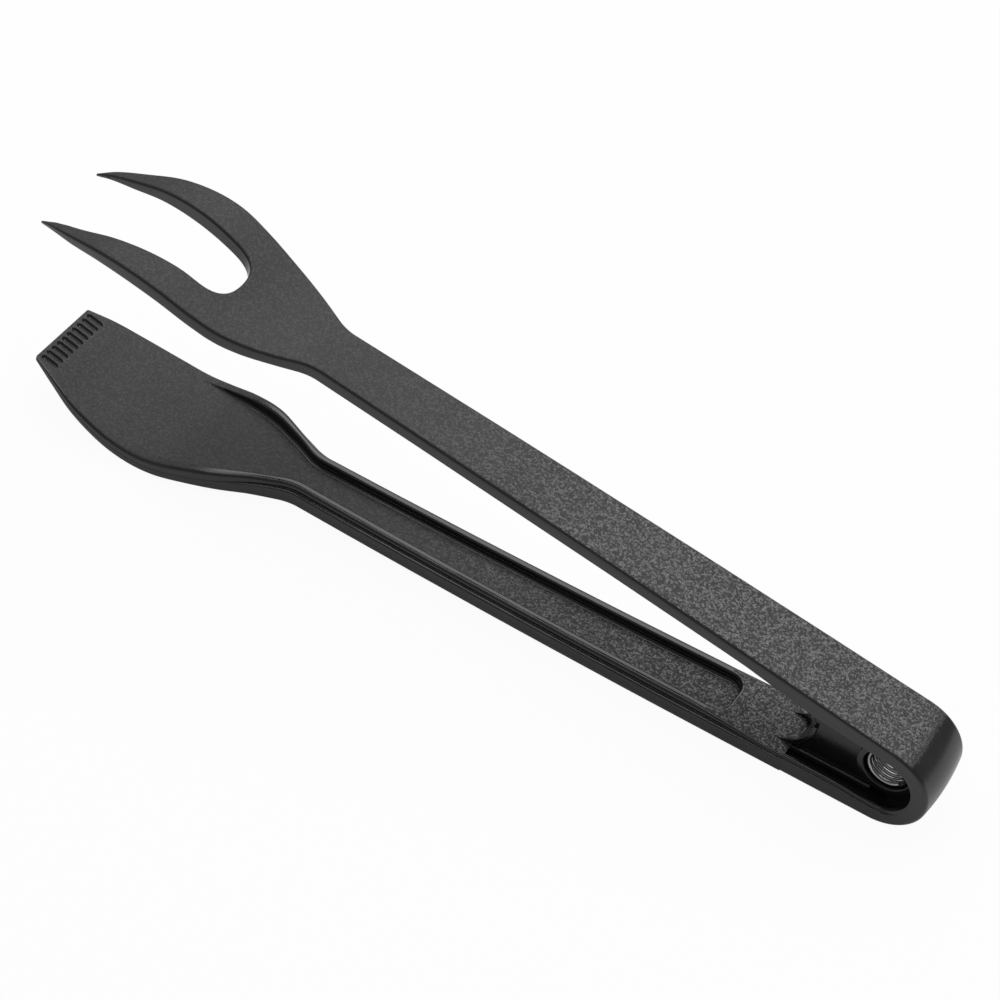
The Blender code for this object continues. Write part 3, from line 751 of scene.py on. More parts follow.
def cut_channel(piece, arm):
    """Cuts the channel, whose rounding fades out with its depth."""
    def share_at(place, normal):
        depth = arm.channel_depth(arm.along(place))
        return min(max(depth / arm.size.channel_depth, 0), 1)

    cut(piece, channel_cutter(arm), CHANNEL_ROUND, share_at)


def groove_cutter(arm, y):
    """One groove's space, with a narrowing end at the front and at the back."""
    size = arm.size
    end = size.reach - GROOVE_FRONT
    start = end - size.groove_length
    ends = [(start + GROOVE_END * place, place) for place in GROOVE_END_SHARES]
    ends += [(end - GROOVE_END * place, place) for place in reversed(GROOVE_END_SHARES)]
    rings = []
    for s, place in ends:
        fullness = math.sin(RIGHT_ANGLE * (place + FAINT_SHARE) / (1 + FAINT_SHARE))
        face = arm.inner(s) - arm.raised(s)
        half = size.groove_width / 2 * fullness
        depth = size.groove_depth * fullness
        bottom = [
            (half * math.copysign(abs(math.cos(a)) ** GROOVE_SHARPNESS, math.cos(a)), face + depth * math.sin(a))
            for a in even(0, math.pi, ROUND_STEPS)
        ]
        outline = bottom + [(-half, face - OVERRUN), (half, face - OVERRUN)]
        rings.append([arm.point(s, y + across, h) for across, h in outline])
    return drawn_through("groove_space", rings)


def ramp_front(radius, start):
    """The lug's round front in (x, z), from an angle below the horizontal up to its top."""
    return arc((-RAMP_DISTANCE, RAMP_HEIGHT), radius, start, 0, RAMP_STEPS)


def pocket_cutter(floor):
    """The pocket's space between the lips: upright walls, a round end, open towards the arm."""
    turned = even(-RIGHT_ANGLE, RIGHT_ANGLE, POCKET_STEPS)
    outline = [
        (-POCKET_DISTANCE + POCKET_HALF_WIDTH * math.cos(a), POCKET_HALF_WIDTH * math.sin(a))
        for a in turned
    ]
    open_end = -RAMP_DISTANCE - OVERRUN
    outline += [(open_end, POCKET_HALF_WIDTH), (open_end, -POCKET_HALF_WIDTH)]
    rings = [[Vector((x, y, z)) for x, y in outline] for z in (floor, LUG_TOP_FRONT + OVERRUN)]
    return drawn_through("pocket_space", rings)


def model_lug(size):
    """The lug of the turner arm: web, lips round a pocket, foot, and the barrel with its collars."""
    foot_bottom = size.hinge_radius - HOOD_FLOOR - CLEARANCE
    low = FOOT_THICKNESS / 2 - foot_bottom
    arm = TurnerArm(size)
    face = -arm.inner(RAMP_DISTANCE)
    curved = ramp_front(RAMP_RADIUS + LIP_PROUD, -RIGHT_ANGLE)
    front = curved[0][0]
    outline = curved + [(curved[-1][0], LUG_TOP_FRONT)]
    outline += [(-size.bore_radius - BARREL_WALL / 2, LUG_TOP_REAR), (-WEB_END, 0)]
    outline += [(-WEB_END, low), (front, low)]
    lug = slab("lug", outline, -size.lug_half_thickness, size.lug_half_thickness)
    bevel_corners(lug, FINE_ROUND)

    upper = ramp_front(RAMP_RADIUS, -RIGHT_ANGLE)
    lower = ramp_front(RAMP_RADIUS + LIP_HEIGHT, LIP_TURN)
    root = face - LIP_ROOT
    lips = slab(
        "lips", upper + list(reversed(lower)) + [(lower[0][0], root), (front, root)],
        -LIP_HALF_WIDTH, LIP_HALF_WIDTH,
    )
    bevel_corners(lips, LIP_ROUND)
    combine(lug, lips, "UNION")
    combine(lug, pocket_cutter(face - POCKET_SINK), "DIFFERENCE")

    top = foot_bottom - FOOT_THICKNESS
    side = arc((FOOT_HALF_WIDTH - FOOT_ROUND, top + FOOT_ROUND), FOOT_ROUND, -RIGHT_ANGLE, 0, ROUND_STEPS)
    low_corner = (FOOT_HALF_WIDTH - FOOT_ROUND, foot_bottom - FOOT_ROUND)
    side += arc(low_corner, FOOT_ROUND, 0, RIGHT_ANGLE, SMALL_ROUND_STEPS)
    rings = [[arm.point(s, y, h) for y, h in mirrored(side)] for s in (FOOT_END, -front + LUG_ROOT)]
    combine(lug, drawn_through("foot", rings), "UNION")

    clear_radius = size.bore_radius + BARREL_WALL / 2
    low_y = BARREL_HALF_LENGTH + OVERRUN
    bore = slab("bore_space", arc((0, 0), clear_radius, 0, math.tau, TURN_SEGMENTS)[1:], -low_y, low_y)
    combine(lug, bore, "DIFFERENCE")

    running = size.bore_radius + BARREL_WALL
    collar = running + COLLAR_HEIGHT
    shoulder = BARREL_HALF_LENGTH - COLLAR_WIDTH
    end = BARREL_HALF_LENGTH
    half_side = [(running, shoulder), (collar, shoulder)]
    half_side += arc((collar - FINE_ROUND, end - FINE_ROUND), FINE_ROUND, 0, RIGHT_ANGLE, SMALL_ROUND_STEPS)
    bore_corner = (size.bore_radius + BORE_ROUND, end - BORE_ROUND)
    half_side += arc(bore_corner, BORE_ROUND, RIGHT_ANGLE, math.pi, SMALL_ROUND_STEPS)
    outline = half_side + [(radius, -y) for radius, y in reversed(half_side)]
    combine(lug, spun("barrel", outline), "UNION")
    return lug


def set_down(piece):
    """Moves a finished piece from arm coordinates to where the tongs lie, with its origin at the world's."""
    pick(piece)
    piece.matrix_world = Matrix.Translation(HINGE) @ Matrix.Rotation(REST_TILT, 4, "Y")
    bpy.ops.object.transform_apply(location=True, rotation=True, scale=True)


def shade(piece):
    """Smooth shading that keeps the flat faces flat."""
    pick(piece)
    bpy.ops.object.shade_smooth_by_angle(angle=SMOOTH_ANGLE)
    bpy.ops.object.modifier_add(type="WEIGHTED_NORMAL")
    modifier = piece.modifiers[-1]
    modifier.keep_sharp = True
    bpy.ops.object.modifier_apply(modifier=modifier.name)


def mark_texture(piece, out_of_plane, share_at=None):
    """Stores on each face how far it has the mould's spark-eroded texture."""
    texture = piece.data.attributes.new("spark_texture", "FLOAT", "FACE")
    for face in piece.data.polygons:
        centre = face.center
        value = 0.0
        if abs(face.normal.dot(out_of_plane)) > FLAT_ENOUGH:
            value = share_at(centre, face.normal) if share_at else 1.0
        if centre.x > 0:
            angle = math.atan2(centre.z, centre.x)
            value *= smooth_step(angle, BEND_TEXTURE_START, BEND_TEXTURE_END)
        texture.data[face.index].value = value


def add_node(tree, kind, **settings):
    """A shader node with its settings and its unlinked inputs, given by name with _ for a space."""
    made = tree.nodes.new(kind)
    for key, value in settings.items():
        if hasattr(made, key):
            setattr(made, key, value)
        else:
            made.inputs[key.replace("_", " ")].default_value = value
    return made


def new_material(name):
    made = bpy.data.materials.new(name)
    made.use_nodes = True
    return made, made.node_tree, made.node_tree.nodes["Principled BSDF"]


def nylon_material(finish, name):
    """Black nylon: spark-eroded or with fine grain by face, with worn edges, scuffs, uneven gloss and glints
    painted lighter on the grain's tips.
    """
    made, tree, shader = new_material(name)
    link = tree.links.new
    shader.inputs["IOR"].default_value = NYLON_IOR
    place = add_node(tree, "ShaderNodeTexCoord").outputs["Object"]
    texture = add_node(tree, "ShaderNodeAttribute", attribute_name="spark_texture").outputs["Fac"]

    patches = add_node(tree, "ShaderNodeTexNoise", Scale=600.0, Detail=2.0)
    link(place, patches.inputs["Vector"])
    reached = add_node(tree, "ShaderNodeMath", operation="ADD")
    link(texture, reached.inputs[0])
    link(patches.outputs["Fac"], reached.inputs[1])
    ragged = add_node(tree, "ShaderNodeMapRange")
    ragged.inputs["From Min"].default_value = 0.75
    ragged.inputs["From Max"].default_value = 1.0
    link(reached.outputs[0], ragged.inputs["Value"])
    textured = add_node(tree, "ShaderNodeMath", operation="MULTIPLY")
    link(texture, textured.inputs[0])
    link(ragged.outputs["Result"], textured.inputs[1])
    reach = textured.outputs[0]
    parts = add_node(tree, "ShaderNodeSeparateXYZ")
    link(place, parts.inputs["Vector"])
    coarser = add_node(tree, "ShaderNodeMapRange", interpolation_type="SMOOTHSTEP")
    coarser.inputs["From Min"].default_value = HINGE.x - GRAIN_SOFT
    coarser.inputs["From Max"].default_value = HINGE.x - GRAIN_COARSE
    coarser.inputs["To Min"].default_value = SOFT_GRAIN_SHARE
    link(parts.outputs["X"], coarser.inputs["Value"])
    strength = add_node(tree, "ShaderNodeMath", operation="MULTIPLY")
    link(reach, strength.inputs[0])
    link(coarser.outputs["Result"], strength.inputs[1])
    texture = strength.outputs[0]

    rounded = add_node(tree, "ShaderNodeBevel", samples=6, Radius=finish.edge_wear / 2)
    spark = add_node(
        tree, "ShaderNodeTexNoise", Scale=1 / finish.spark_grain, Detail=2.0, Roughness=0.6
    )
    link(place, spark.inputs["Vector"])
    spark_bump = add_node(tree, "ShaderNodeBump", Distance=finish.spark_grain * SPARK_HEIGHT_SHARE)
    link(texture, spark_bump.inputs["Strength"])
    link(spark.outputs["Fac"], spark_bump.inputs["Height"])
    link(rounded.outputs["Normal"], spark_bump.inputs["Normal"])
    fine = add_node(tree, "ShaderNodeTexNoise", Scale=1 / finish.fine_grain, Detail=2.0)
    link(place, fine.inputs["Vector"])
    fine_bump = add_node(tree, "ShaderNodeBump", Strength=0.12, Distance=finish.fine_grain / 4)
    link(fine.outputs["Fac"], fine_bump.inputs["Height"])
    link(spark_bump.outputs["Normal"], fine_bump.inputs["Normal"])
    link(fine_bump.outputs["Normal"], shader.inputs["Normal"])

    geometry = add_node(tree, "ShaderNodeNewGeometry")
    wide = add_node(tree, "ShaderNodeBevel", samples=6, Radius=finish.edge_wear)
    turned = add_node(tree, "ShaderNodeVectorMath", operation="DOT_PRODUCT")
    link(wide.outputs["Normal"], turned.inputs[0])
    link(geometry.outputs["Normal"], turned.inputs[1])
    worn = add_node(tree, "ShaderNodeMapRange")
    worn.inputs["From Min"].default_value = 0.99
    worn.inputs["From Max"].default_value = 0.85
    link(turned.outputs["Value"], worn.inputs["Value"])
    scuffs = add_node(tree, "ShaderNodeTexNoise", Scale=90.0, Detail=6.0, Roughness=0.7)
    link(place, scuffs.inputs["Vector"])
    scuffed = add_node(tree, "ShaderNodeMapRange")
    scuffed.inputs["From Min"].default_value = 0.45
    scuffed.inputs["From Max"].default_value = 0.8
    scuffed.inputs["To Max"].default_value = 0.5
    link(scuffs.outputs["Fac"], scuffed.inputs["Value"])
    patch = add_node(tree, "ShaderNodeMath", operation="MULTIPLY", use_clamp=True)
    patch.inputs[1].default_value = 0.15
    link(worn.outputs["Result"], patch.inputs[0])
    dust = add_node(tree, "ShaderNodeMath", operation="ADD", use_clamp=True)
    link(patch.outputs[0], dust.inputs[0])
    link(scuffed.outputs["Result"], dust.inputs[1])
    tint = add_node(tree, "ShaderNodeMix", data_type="RGBA")
    tint.inputs["A"].default_value = (*finish.nylon, 1)
    tint.inputs["B"].default_value = (*finish.nylon_dust, 1)
    link(dust.outputs[0], tint.inputs["Factor"])
    # The specks below paint the grain's tips lighter, as painted glints on the spark-eroded faces, and also
    # lower their roughness.
    grains = add_node(tree, "ShaderNodeTexVoronoi", Scale=GRAINS_PER_SPARK / finish.spark_grain)
    link(place, grains.inputs["Vector"])
    grain_kind = add_node(tree, "ShaderNodeSeparateColor")
    link(grains.outputs["Color"], grain_kind.inputs["Color"])
    mixed = add_node(tree, "ShaderNodeMath", operation="MULTIPLY")
    link(grain_kind.outputs["Red"], mixed.inputs[0])
    link(spark.outputs["Fac"], mixed.inputs[1])
    specks = add_node(tree, "ShaderNodeMapRange")
    specks.inputs["From Min"].default_value = 0.17
    specks.inputs["From Max"].default_value = 0.5
    link(mixed.outputs[0], specks.inputs["Value"])
    shown = add_node(tree, "ShaderNodeMath", operation="MULTIPLY", use_clamp=True)
    link(specks.outputs["Result"], shown.inputs[0])
    link(texture, shown.inputs[1])
    glint_tinted = add_node(tree, "ShaderNodeMix", data_type="RGBA")
    link(shown.outputs[0], glint_tinted.inputs["Factor"])
    link(tint.outputs["Result"], glint_tinted.inputs["A"])
    glint_tinted.inputs["B"].default_value = (*finish.painted_grain_glint, 1)
    link(glint_tinted.outputs["Result"], shader.inputs["Base Color"])

    gloss = add_node(tree, "ShaderNodeMapRange")
    gloss.inputs["To Min"].default_value = finish.nylon_roughness
    gloss.inputs["To Max"].default_value = finish.textured_roughness
    link(reach, gloss.inputs["Value"])
    uneven = add_node(tree, "ShaderNodeTexNoise", Scale=45.0, Detail=3.0)
    link(place, uneven.inputs["Vector"])
    spread = add_node(tree, "ShaderNodeMapRange")
    spread.inputs["To Min"].default_value = -0.06
    spread.inputs["To Max"].default_value = 0.06
    link(uneven.outputs["Fac"], spread.inputs["Value"])
    roughness = add_node(tree, "ShaderNodeMath", operation="ADD", use_clamp=True)
    glints = add_node(tree, "ShaderNodeMath", operation="MULTIPLY_ADD")
    glints.inputs[1].default_value = SPARK_GLOSS
    link(shown.outputs[0], glints.inputs[0])
    link(gloss.outputs["Result"], glints.inputs[2])
    link(glints.outputs[0], roughness.inputs[0])
    link(spread.outputs["Result"], roughness.inputs[1])
    link(roughness.outputs[0], shader.inputs["Roughness"])
    return made


def steel_material(finish):
    """Drawn spring wire: bright steel with faint patches of handling."""
    made, tree, shader = new_material("drawn_spring_wire")
    link = tree.links.new
    place = add_node(tree, "ShaderNodeTexCoord").outputs["Object"]
    shader.inputs["Metallic"].default_value = 1.0
    patches = add_node(tree, "ShaderNodeTexNoise", Scale=260.0, Detail=4.0)
    link(place, patches.inputs["Vector"])
    tint = add_node(tree, "ShaderNodeMix", data_type="RGBA")
    tint.inputs["A"].default_value = (*finish.steel, 1)
    tint.inputs["B"].default_value = (*(channel * 0.7 for channel in finish.steel), 1)
    link(patches.outputs["Fac"], tint.inputs["Factor"])
    link(tint.outputs["Result"], shader.inputs["Base Color"])
    gloss = add_node(tree, "ShaderNodeMapRange")
    gloss.inputs["To Min"].default_value = finish.steel_roughness * 0.7
    gloss.inputs["To Max"].default_value = finish.steel_roughness * 1.4
    link(patches.outputs["Fac"], gloss.inputs["Value"])
    link(gloss.outputs["Result"], shader.inputs["Roughness"])
    scratches = add_node(tree, "ShaderNodeTexNoise", Scale=4000.0, Detail=2.0)
    link(place, scratches.inputs["Vector"])
    bump = add_node(tree, "ShaderNodeBump", Strength=0.1, Distance=0.00003)
    link(scratches.outputs["Fac"], bump.inputs["Height"])
    link(bump.outputs["Normal"], shader.inputs["Normal"])
    return made


def give(piece, material):
    """Gives the whole piece one material."""
    piece.data.materials.clear()
    piece.data.materials.append(material)
    for face in piece.data.polygons:
        face.material_index = 0


class TONGS_OT_turner_arm(bpy.types.Operator):
    """Model the turner arm with its blade, lug and barrel"""

    bl_idname = "tongs.turner_arm"
    bl_label = "Turner Arm"

    def execute(self, context):
        size = context.scene.tongs_sizes
        arm = TurnerArm(size)
        start = size.leg_length + SEAM
        stations = even(start, size.channel_start - CHANNEL_ROUND * 2, LEG_STEPS)
        piece = drawn_through("turner_moulding", arm.rings(stations + arm.arm_stations()))
        dissolve_flat(piece)
        cut_channel(piece, arm)
        for k in range(size.groove_count):
            y = size.groove_pitch * (k - (size.groove_count - 1) / 2)
            combine(piece, groove_cutter(arm, y), "DIFFERENCE")
        combine(piece, model_lug(size), "UNION")

        def share_at(place, normal):
            s = arm.along(place)
            on_rim = abs(place.y) > arm.half_width(s) - size.rim_width - CHANNEL_FLOOR_ROUND
            if normal.z > 0 and s > size.channel_start and on_rim and s < size.gap_start:
                return 0.0
            on_lug = s < size.channel_start and -place.z < arm.inner(s) - CLEARANCE
            beside_arm = s < POCKET_DISTANCE - POCKET_HALF_WIDTH
            rolled = size.rim_round / 2 + arm.ledge(s)
            on_ledge = normal.z > 0 and abs(place.y) > arm.half_width(s) - rolled
            return 0.0 if on_lug or beside_arm or on_ledge else 1.0

        mark_texture(piece, Vector((0, 0, 1)), share_at)
        give(piece, nylon_material(context.scene.tongs_finish, "turner_nylon"))
        set_down(piece)
        shade(piece)
        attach(piece, "turner")
        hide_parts("turner_arm")
        return {"FINISHED"}


def hood_rings(size):
    """Rings of the hood, from the end of its lower leg round the bend."""
    rings = []
    for x in even(-size.leg_length, 0, LEG_STEPS)[:-1]:
        thinned = smooth_step(x, -size.leg_length / 2, 0)
        thickness = size.handle_thickness + (HOOD_THICKNESS - size.handle_thickness) * thinned
        outline = arm_outline(
            size, size.hinge_half_width, size.hinge_radius, thickness, LEG_LEDGE, TURNER_PLATE_SHARE,
            size.rim_round,
        )
        rings.append([leg_point(x, y, h) for y, h in outline])
    start = -RIGHT_ANGLE
    end = RIGHT_ANGLE - size.open_angle
    for angle in even(start, end, BEND_STEPS)[:-1]:
        faded = smooth_step(angle, LEDGE_FADE_START, LEDGE_FADE_END)
        ledge = LEG_LEDGE + (FAINT_LEDGE - LEG_LEDGE) * faded
        turned = (angle - start) / (end - start)
        plate_share = TURNER_PLATE_SHARE + (FORK_PLATE_SHARE - TURNER_PLATE_SHARE) * turned
        outline = arm_outline(
            size, size.hinge_half_width, size.hinge_radius, HOOD_THICKNESS, ledge, plate_share,
            size.rim_round, crown=HOOD_CROWN * math.sin(math.pi * turned),
        )
        rings.append([bend_point(angle, y, h) for y, h in outline])
    return rings


def cavity_cutter(arm):
    """The hood's inside, open towards the hinge axis and towards the leg's end."""
    size = arm.size
    inside = size.hinge_radius - size.handle_thickness - OVERRUN
    outline = box_outline(size.hinge_half_width - HOOD_WALL, inside, size.hinge_radius - HOOD_FLOOR)
    starts = (-size.leg_length - OVERRUN, -size.leg_length / 2)
    rings = [[leg_point(x, y, h) for y, h in outline] for x in starts]
    for angle in even(-RIGHT_ANGLE, RIGHT_ANGLE - size.open_angle, BEND_STEPS):
        rings.append([bend_point(angle, y, h) for y, h in outline])
    rings.append([arm.point(CAVITY_END, y, h) for y, h in outline])
    return drawn_through("hood_space", rings)


def model_seat(arm):
    """The saddle inside the hood that turns on the barrel."""
    size = arm.size
    radius = size.bore_radius + BARREL_WALL + CLEARANCE
    half = BARREL_HALF_LENGTH - COLLAR_WIDTH - CLEARANCE
    root = size.hinge_radius - HOOD_FLOOR + HOOD_FLOOR / 4
    rings = []
    for angle in even(SEAT_LOW_ANGLE, RIGHT_ANGLE - size.open_angle, BEND_STEPS):
        rings.append([bend_point(angle, y, h) for y, h in box_outline(half, radius, root)])
    for s in even(0, SEAT_LIP, SMALL_ROUND_STEPS)[1:]:
        outline = box_outline(half, math.sqrt(radius ** 2 - s ** 2), root)
        rings.append([arm.point(s, y, h) for y, h in outline])
    return drawn_through("seat", rings)


def gap_cutter(arm):
    """The gap between the tines, with a rounded root."""
    size = arm.size
    run = size.reach - size.gap_start
    stations = [size.gap_start + run * place ** 2 for place in even(0, 1, GAP_STEPS)]
    rings = []
    for s in stations + [size.reach + OVERRUN]:
        half = max(arm.gap_half_width(s), WELD)
        back = arm.back(min(s, size.reach))
        outline = box_outline(half, back - size.handle_thickness - OVERRUN, back + OVERRUN)
        rings.append([arm.point(s, y, h) for y, h in outline])
    return drawn_through("gap_space", rings)


def cut_gap(piece, arm):
    """Cuts the gap, with a wide rounding on the tines' backs that narrows towards their tips."""
    out = arm.point(0, 0, 1)

    def share_at(place, normal):
        s = min(arm.along(place), arm.size.reach)
        wanted = GAP_ROUND if normal.dot(out) > FLAT_ENOUGH else CUT_ROUND
        most = arm.thickness(s) * TINE_ROUND_SHARE
        most = min(most, (arm.half_width(s) - arm.gap_half_width(s)) * TINE_WIDTH_ROUND_SHARE)
        return min(wanted, most) / GAP_ROUND

    cut(piece, gap_cutter(arm), GAP_ROUND, share_at)


class TONGS_OT_fork_arm(bpy.types.Operator):
    """Model the fork arm with its tines and the hood round the hinge"""

    bl_idname = "tongs.fork_arm"
    bl_label = "Fork Arm"

    def execute(self, context):
        size = context.scene.tongs_sizes
        arm = ForkArm(size)
        stations = even(0, size.channel_start - CHANNEL_ROUND * 2, LEG_STEPS)
        rings = hood_rings(size) + arm.rings(stations + arm.arm_stations())
        piece = drawn_through("fork_moulding", rings)
        dissolve_flat(piece)
        cut_channel(piece, arm)
        cut_gap(piece, arm)
        cut(piece, cavity_cutter(arm), FINE_ROUND)
        combine(piece, model_seat(arm), "UNION")

        def share_at(place, normal):
            inside_hood = arm.along(place) < CAVITY_END and normal.dot(place) < 0
            return 0.0 if inside_hood else 1.0

        mark_texture(piece, arm.point(0, 0, 1), share_at)
        give(piece, nylon_material(context.scene.tongs_finish, "fork_nylon"))
        set_down(piece)
        shade(piece)
        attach(piece, "fork")
        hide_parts("fork_arm")
        return {"FINISHED"}


def wire(name, path, size, material):
    """A piece of round wire along a path."""
    data = bpy.data.curves.new(name, "CURVE")
    data.dimensions = "3D"
    data.bevel_depth = size.wire_radius
    data.bevel_resolution = 5
    data.use_fill_caps = True
    spline = data.splines.new("POLY")
    spline.points.add(len(path) - 1)
    for point, place in zip(spline.points, path):
        point.co = (*place, 1)
    drawn = bpy.data.objects.new(name, data)
    bpy.context.scene.collection.objects.link(drawn)
    pick(drawn)
    bpy.ops.object.convert(target="MESH")
    piece = bpy.context.object
    piece.name = name
    bpy.ops.object.mode_set(mode="EDIT")
    finish_faces()
    bpy.ops.object.mode_set(mode="OBJECT")
    give(piece, material)
    set_down(piece)
    shade(piece)
    return piece


class TONGS_OT_spring(bpy.types.Operator):
    """Wind the torsion spring inside the barrel, with a leg along each arm"""

    bl_idname = "tongs.spring"
    bl_label = "Torsion Spring"

    def execute(self, context):
        size = context.scene.tongs_sizes
        radius = size.bore_radius - CLEARANCE - size.wire_radius
        leg_y = BARREL_HALF_LENGTH + CLEARANCE + size.wire_radius
        inner_face = size.hinge_radius - size.handle_thickness - CLEARANCE - size.wire_radius
        low_end = TurnerArm(size).point(SPRING_TURNER_LEG, leg_y, inner_face)
        high_end = ForkArm(size).point(SPRING_FORK_LEG, -leg_y, inner_face)
        low_reach = math.hypot(low_end.x, low_end.z)
        high_reach = math.hypot(high_end.x, high_end.z)
        start = math.atan2(low_end.z, low_end.x) + math.acos(radius / low_reach)
        end = math.atan2(high_end.z, high_end.x) - math.acos(radius / high_reach)
        sweep = (end - start) % math.tau + math.tau * size.spring_turns
        lead = math.tau * SPRING_LEAD_SHARE
        count = round(COIL_POINTS_PER_TURN * sweep / math.tau)
        coil = []
        for turned_by in even(0, sweep, count):
            if turned_by < lead:
                y = leg_y + (SPRING_HALF_LENGTH - leg_y) * smooth_step(turned_by, 0, lead)
            elif turned_by > sweep - lead:
                out = smooth_step(turned_by, sweep - lead, sweep)
                y = -SPRING_HALF_LENGTH - (leg_y - SPRING_HALF_LENGTH) * out
            else:
                y = SPRING_HALF_LENGTH * (1 - 2 * (turned_by - lead) / (sweep - 2 * lead))
            coil.append(bend_point(start + turned_by, y, radius))
        steel = steel_material(context.scene.tongs_finish)
        coil_piece = wire("spring_coil", [low_end] + coil, size, steel)
        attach(coil_piece, "turner")
        overlap = COIL_POINTS_PER_TURN // 12
        leg = coil[-overlap:] + [high_end]
        leg_piece = wire("spring_fork_leg", leg, size, steel)
        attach(leg_piece, "fork")
        for piece in (coil_piece, leg_piece):
            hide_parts("torsion_spring")
        return {"FINISHED"}


# Camera, in arm coordinates: its place, its right and the image's down
CAMERA_PLACE = Vector((0.1047, -0.4572, 0.5716))
CAMERA_RIGHT = Vector((0.8471, 0.5246, 0.0843))
CAMERA_DOWN = Vector((0.4363, -0.5962, -0.6739))
SENSOR_WIDTH = 36  # millimetres
SURFACE_SIZE = 6.0
SOFTBOX_SIZE = 2.0
SOFTBOX_DISTANCE = 1.25
SOFTBOX_DIRECTION = Vector((-0.05, 0.34, 0.94))
WHITE_TO_CAMERA = 0.95
WHITE_IN_REFLECTIONS = 0.1
TONGS_MIDDLE = Vector((0, 0, 0.03))


def surface_material(studio):
    """A pale surface that keeps the tongs' soft shadow and runs out to white where a camera looks."""
    made, tree, shader = new_material("pale_surface")
    link = tree.links.new
    shader.inputs["Base Color"].default_value = (*studio.surface, 1)
    shader.inputs["Roughness"].default_value = 0.6
    shader.inputs["Specular IOR Level"].default_value = 0.2
    path = add_node(tree, "ShaderNodeLightPath")
    reflected = add_node(tree, "ShaderNodeMath", operation="MAXIMUM")
    link(path.outputs["Is Glossy Ray"], reflected.inputs[0])
    link(path.outputs["Is Transmission Ray"], reflected.inputs[1])
    reflected_share = add_node(tree, "ShaderNodeMath", operation="MULTIPLY")
    reflected_share.inputs[1].default_value = WHITE_IN_REFLECTIONS
    link(reflected.outputs[0], reflected_share.inputs[0])
    amount = add_node(tree, "ShaderNodeMath", operation="MULTIPLY_ADD", use_clamp=True)
    amount.inputs[1].default_value = WHITE_TO_CAMERA
    link(path.outputs["Is Camera Ray"], amount.inputs[0])
    link(reflected_share.outputs[0], amount.inputs[2])
    white = add_node(tree, "ShaderNodeEmission", Strength=1.0)
    mixed = add_node(tree, "ShaderNodeMixShader")
    link(amount.outputs[0], mixed.inputs["Fac"])
    link(shader.outputs["BSDF"], mixed.inputs[1])
    link(white.outputs["Emission"], mixed.inputs[2])
    link(mixed.outputs["Shader"], tree.nodes["Material Output"].inputs["Surface"])
    return made


def studio_world(studio):
    """A dim room for the light, a white one where a camera looks."""
    world = bpy.data.worlds.new("studio_room")
    world.use_nodes = True
    tree = world.node_tree
    link = tree.links.new
    room = tree.nodes["Background"]
    room.inputs["Color"].default_value = (1, 1, 1, 1)
    room.inputs["Strength"].default_value = studio.fill
    white = add_node(tree, "ShaderNodeBackground", Strength=1.0)
    white.inputs["Color"].default_value = (1, 1, 1, 1)
    path = add_node(tree, "ShaderNodeLightPath")
    mixed = add_node(tree, "ShaderNodeMixShader")
    link(path.outputs["Is Camera Ray"], mixed.inputs["Fac"])
    link(room.outputs["Background"], mixed.inputs[1])
    link(white.outputs["Background"], mixed.inputs[2])
    link(mixed.outputs["Shader"], tree.nodes["World Output"].inputs["Surface"])
    return world


def add_softbox(name, direction, distance, side, radiance):
    """A square lamp that faces the tongs, as bright as asked all over."""
    lamp = bpy.data.lights.new(name, "AREA")
    lamp.size = side
    lamp.energy = radiance * math.pi * side * side
    placed = bpy.data.objects.new(name, lamp)
    bpy.context.scene.collection.objects.link(placed)
    placed.location = TONGS_MIDDLE + direction.normalized() * distance
    placed.rotation_euler = (-direction).to_track_quat("-Z", "Y").to_euler()
    return placed


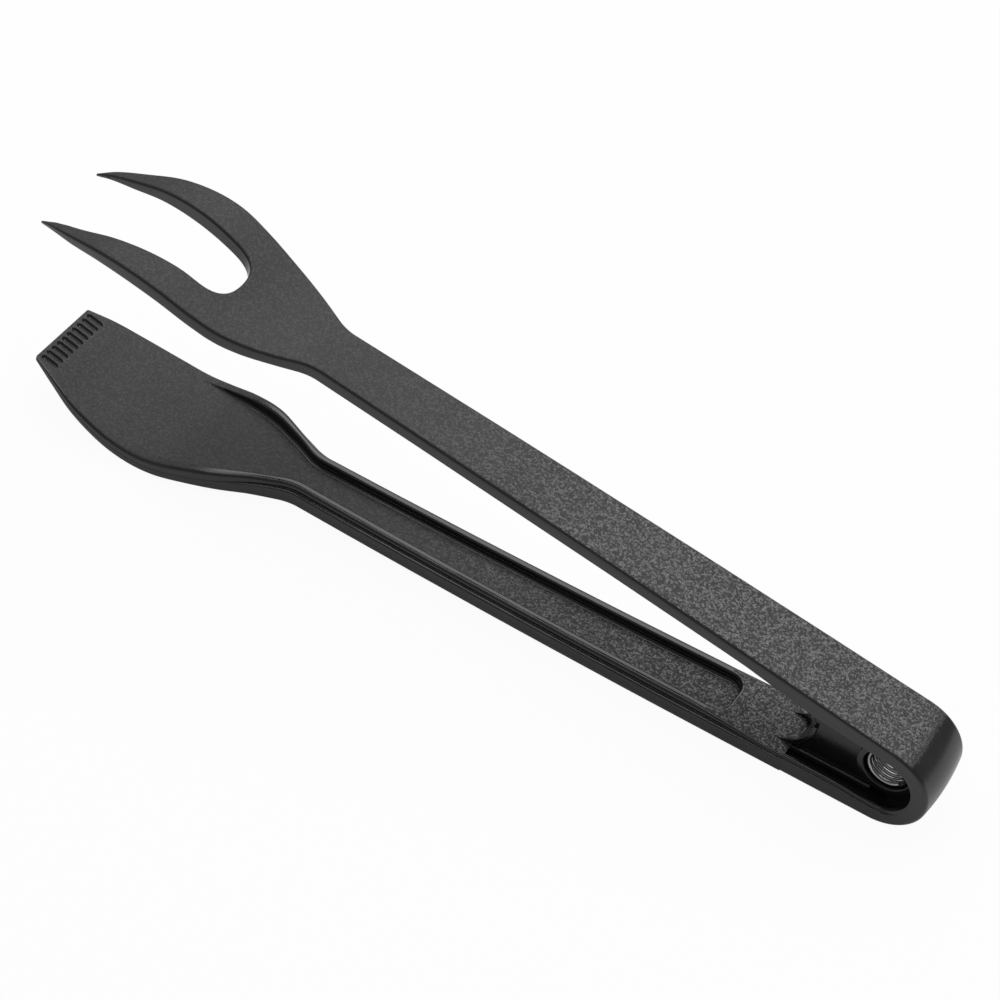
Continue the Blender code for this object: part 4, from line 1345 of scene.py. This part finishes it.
class TONGS_OT_studio(bpy.types.Operator):
    """Set up the pale surface, the soft lamps and the camera"""

    bl_idname = "tongs.studio"
    bl_label = "Studio"

    def execute(self, context):
        scene = context.scene
        studio = scene.tongs_studio
        deselect_all()
        bpy.ops.mesh.primitive_plane_add(size=SURFACE_SIZE)
        surface = context.object
        surface.name = "surface"
        give(surface, surface_material(studio))
        scene.world = studio_world(studio)
        add_softbox(
            "overhead_softbox", SOFTBOX_DIRECTION, SOFTBOX_DISTANCE, SOFTBOX_SIZE, studio.softbox_radiance
        )
        lens = bpy.data.cameras.new("camera")
        lens.sensor_width = SENSOR_WIDTH
        lens.lens = studio.lens
        lens.clip_start = 0.01
        camera = bpy.data.objects.new("camera", lens)
        scene.collection.objects.link(camera)
        up = -CAMERA_DOWN.normalized()
        right = CAMERA_RIGHT.normalized()
        turned = Matrix((right, up, right.cross(up).normalized())).transposed().to_4x4()
        turned.translation = CAMERA_PLACE
        camera.matrix_world = Matrix.Translation(HINGE) @ Matrix.Rotation(REST_TILT, 4, "Y") @ turned
        scene.camera = camera
        scene.view_settings.view_transform = "Standard"
        return {"FINISHED"}


class TONGS_PT_panel(bpy.types.Panel):
    """Lists the pieces of the tongs with their sizes and colours"""

    bl_label = "Kitchen Tongs"
    bl_idname = "TONGS_PT_panel"
    bl_space_type = "VIEW_3D"
    bl_region_type = "UI"
    bl_category = "Tongs"

    def draw(self, context):
        for piece in PIECES:
            self.layout.operator(piece.bl_idname)
        for group in ("tongs_sizes", "tongs_finish", "tongs_studio"):
            values = getattr(context.scene, group)
            box = self.layout.box()
            for key in values.__annotations__:
                box.prop(values, key)


PIECES = (TONGS_OT_turner_arm, TONGS_OT_fork_arm, TONGS_OT_spring, TONGS_OT_studio)
CLASSES = (TongsSizes, TongsFinish, TongsStudio, *PIECES, TONGS_PT_panel)


def register():
    for made in CLASSES:
        bpy.utils.register_class(made)
    bpy.types.Scene.tongs_sizes = bpy.props.PointerProperty(type=TongsSizes)
    bpy.types.Scene.tongs_finish = bpy.props.PointerProperty(type=TongsFinish)
    bpy.types.Scene.tongs_studio = bpy.props.PointerProperty(type=TongsStudio)


def unregister():
    del bpy.types.Scene.tongs_studio
    del bpy.types.Scene.tongs_finish
    del bpy.types.Scene.tongs_sizes
    for made in reversed(CLASSES):
        bpy.utils.unregister_class(made)


def main():
    register()
    bpy.ops.tongs.turner_arm()
    bpy.ops.tongs.fork_arm()
    bpy.ops.tongs.spring()
    bpy.ops.tongs.studio()


if __name__ == "__main__":
    main()
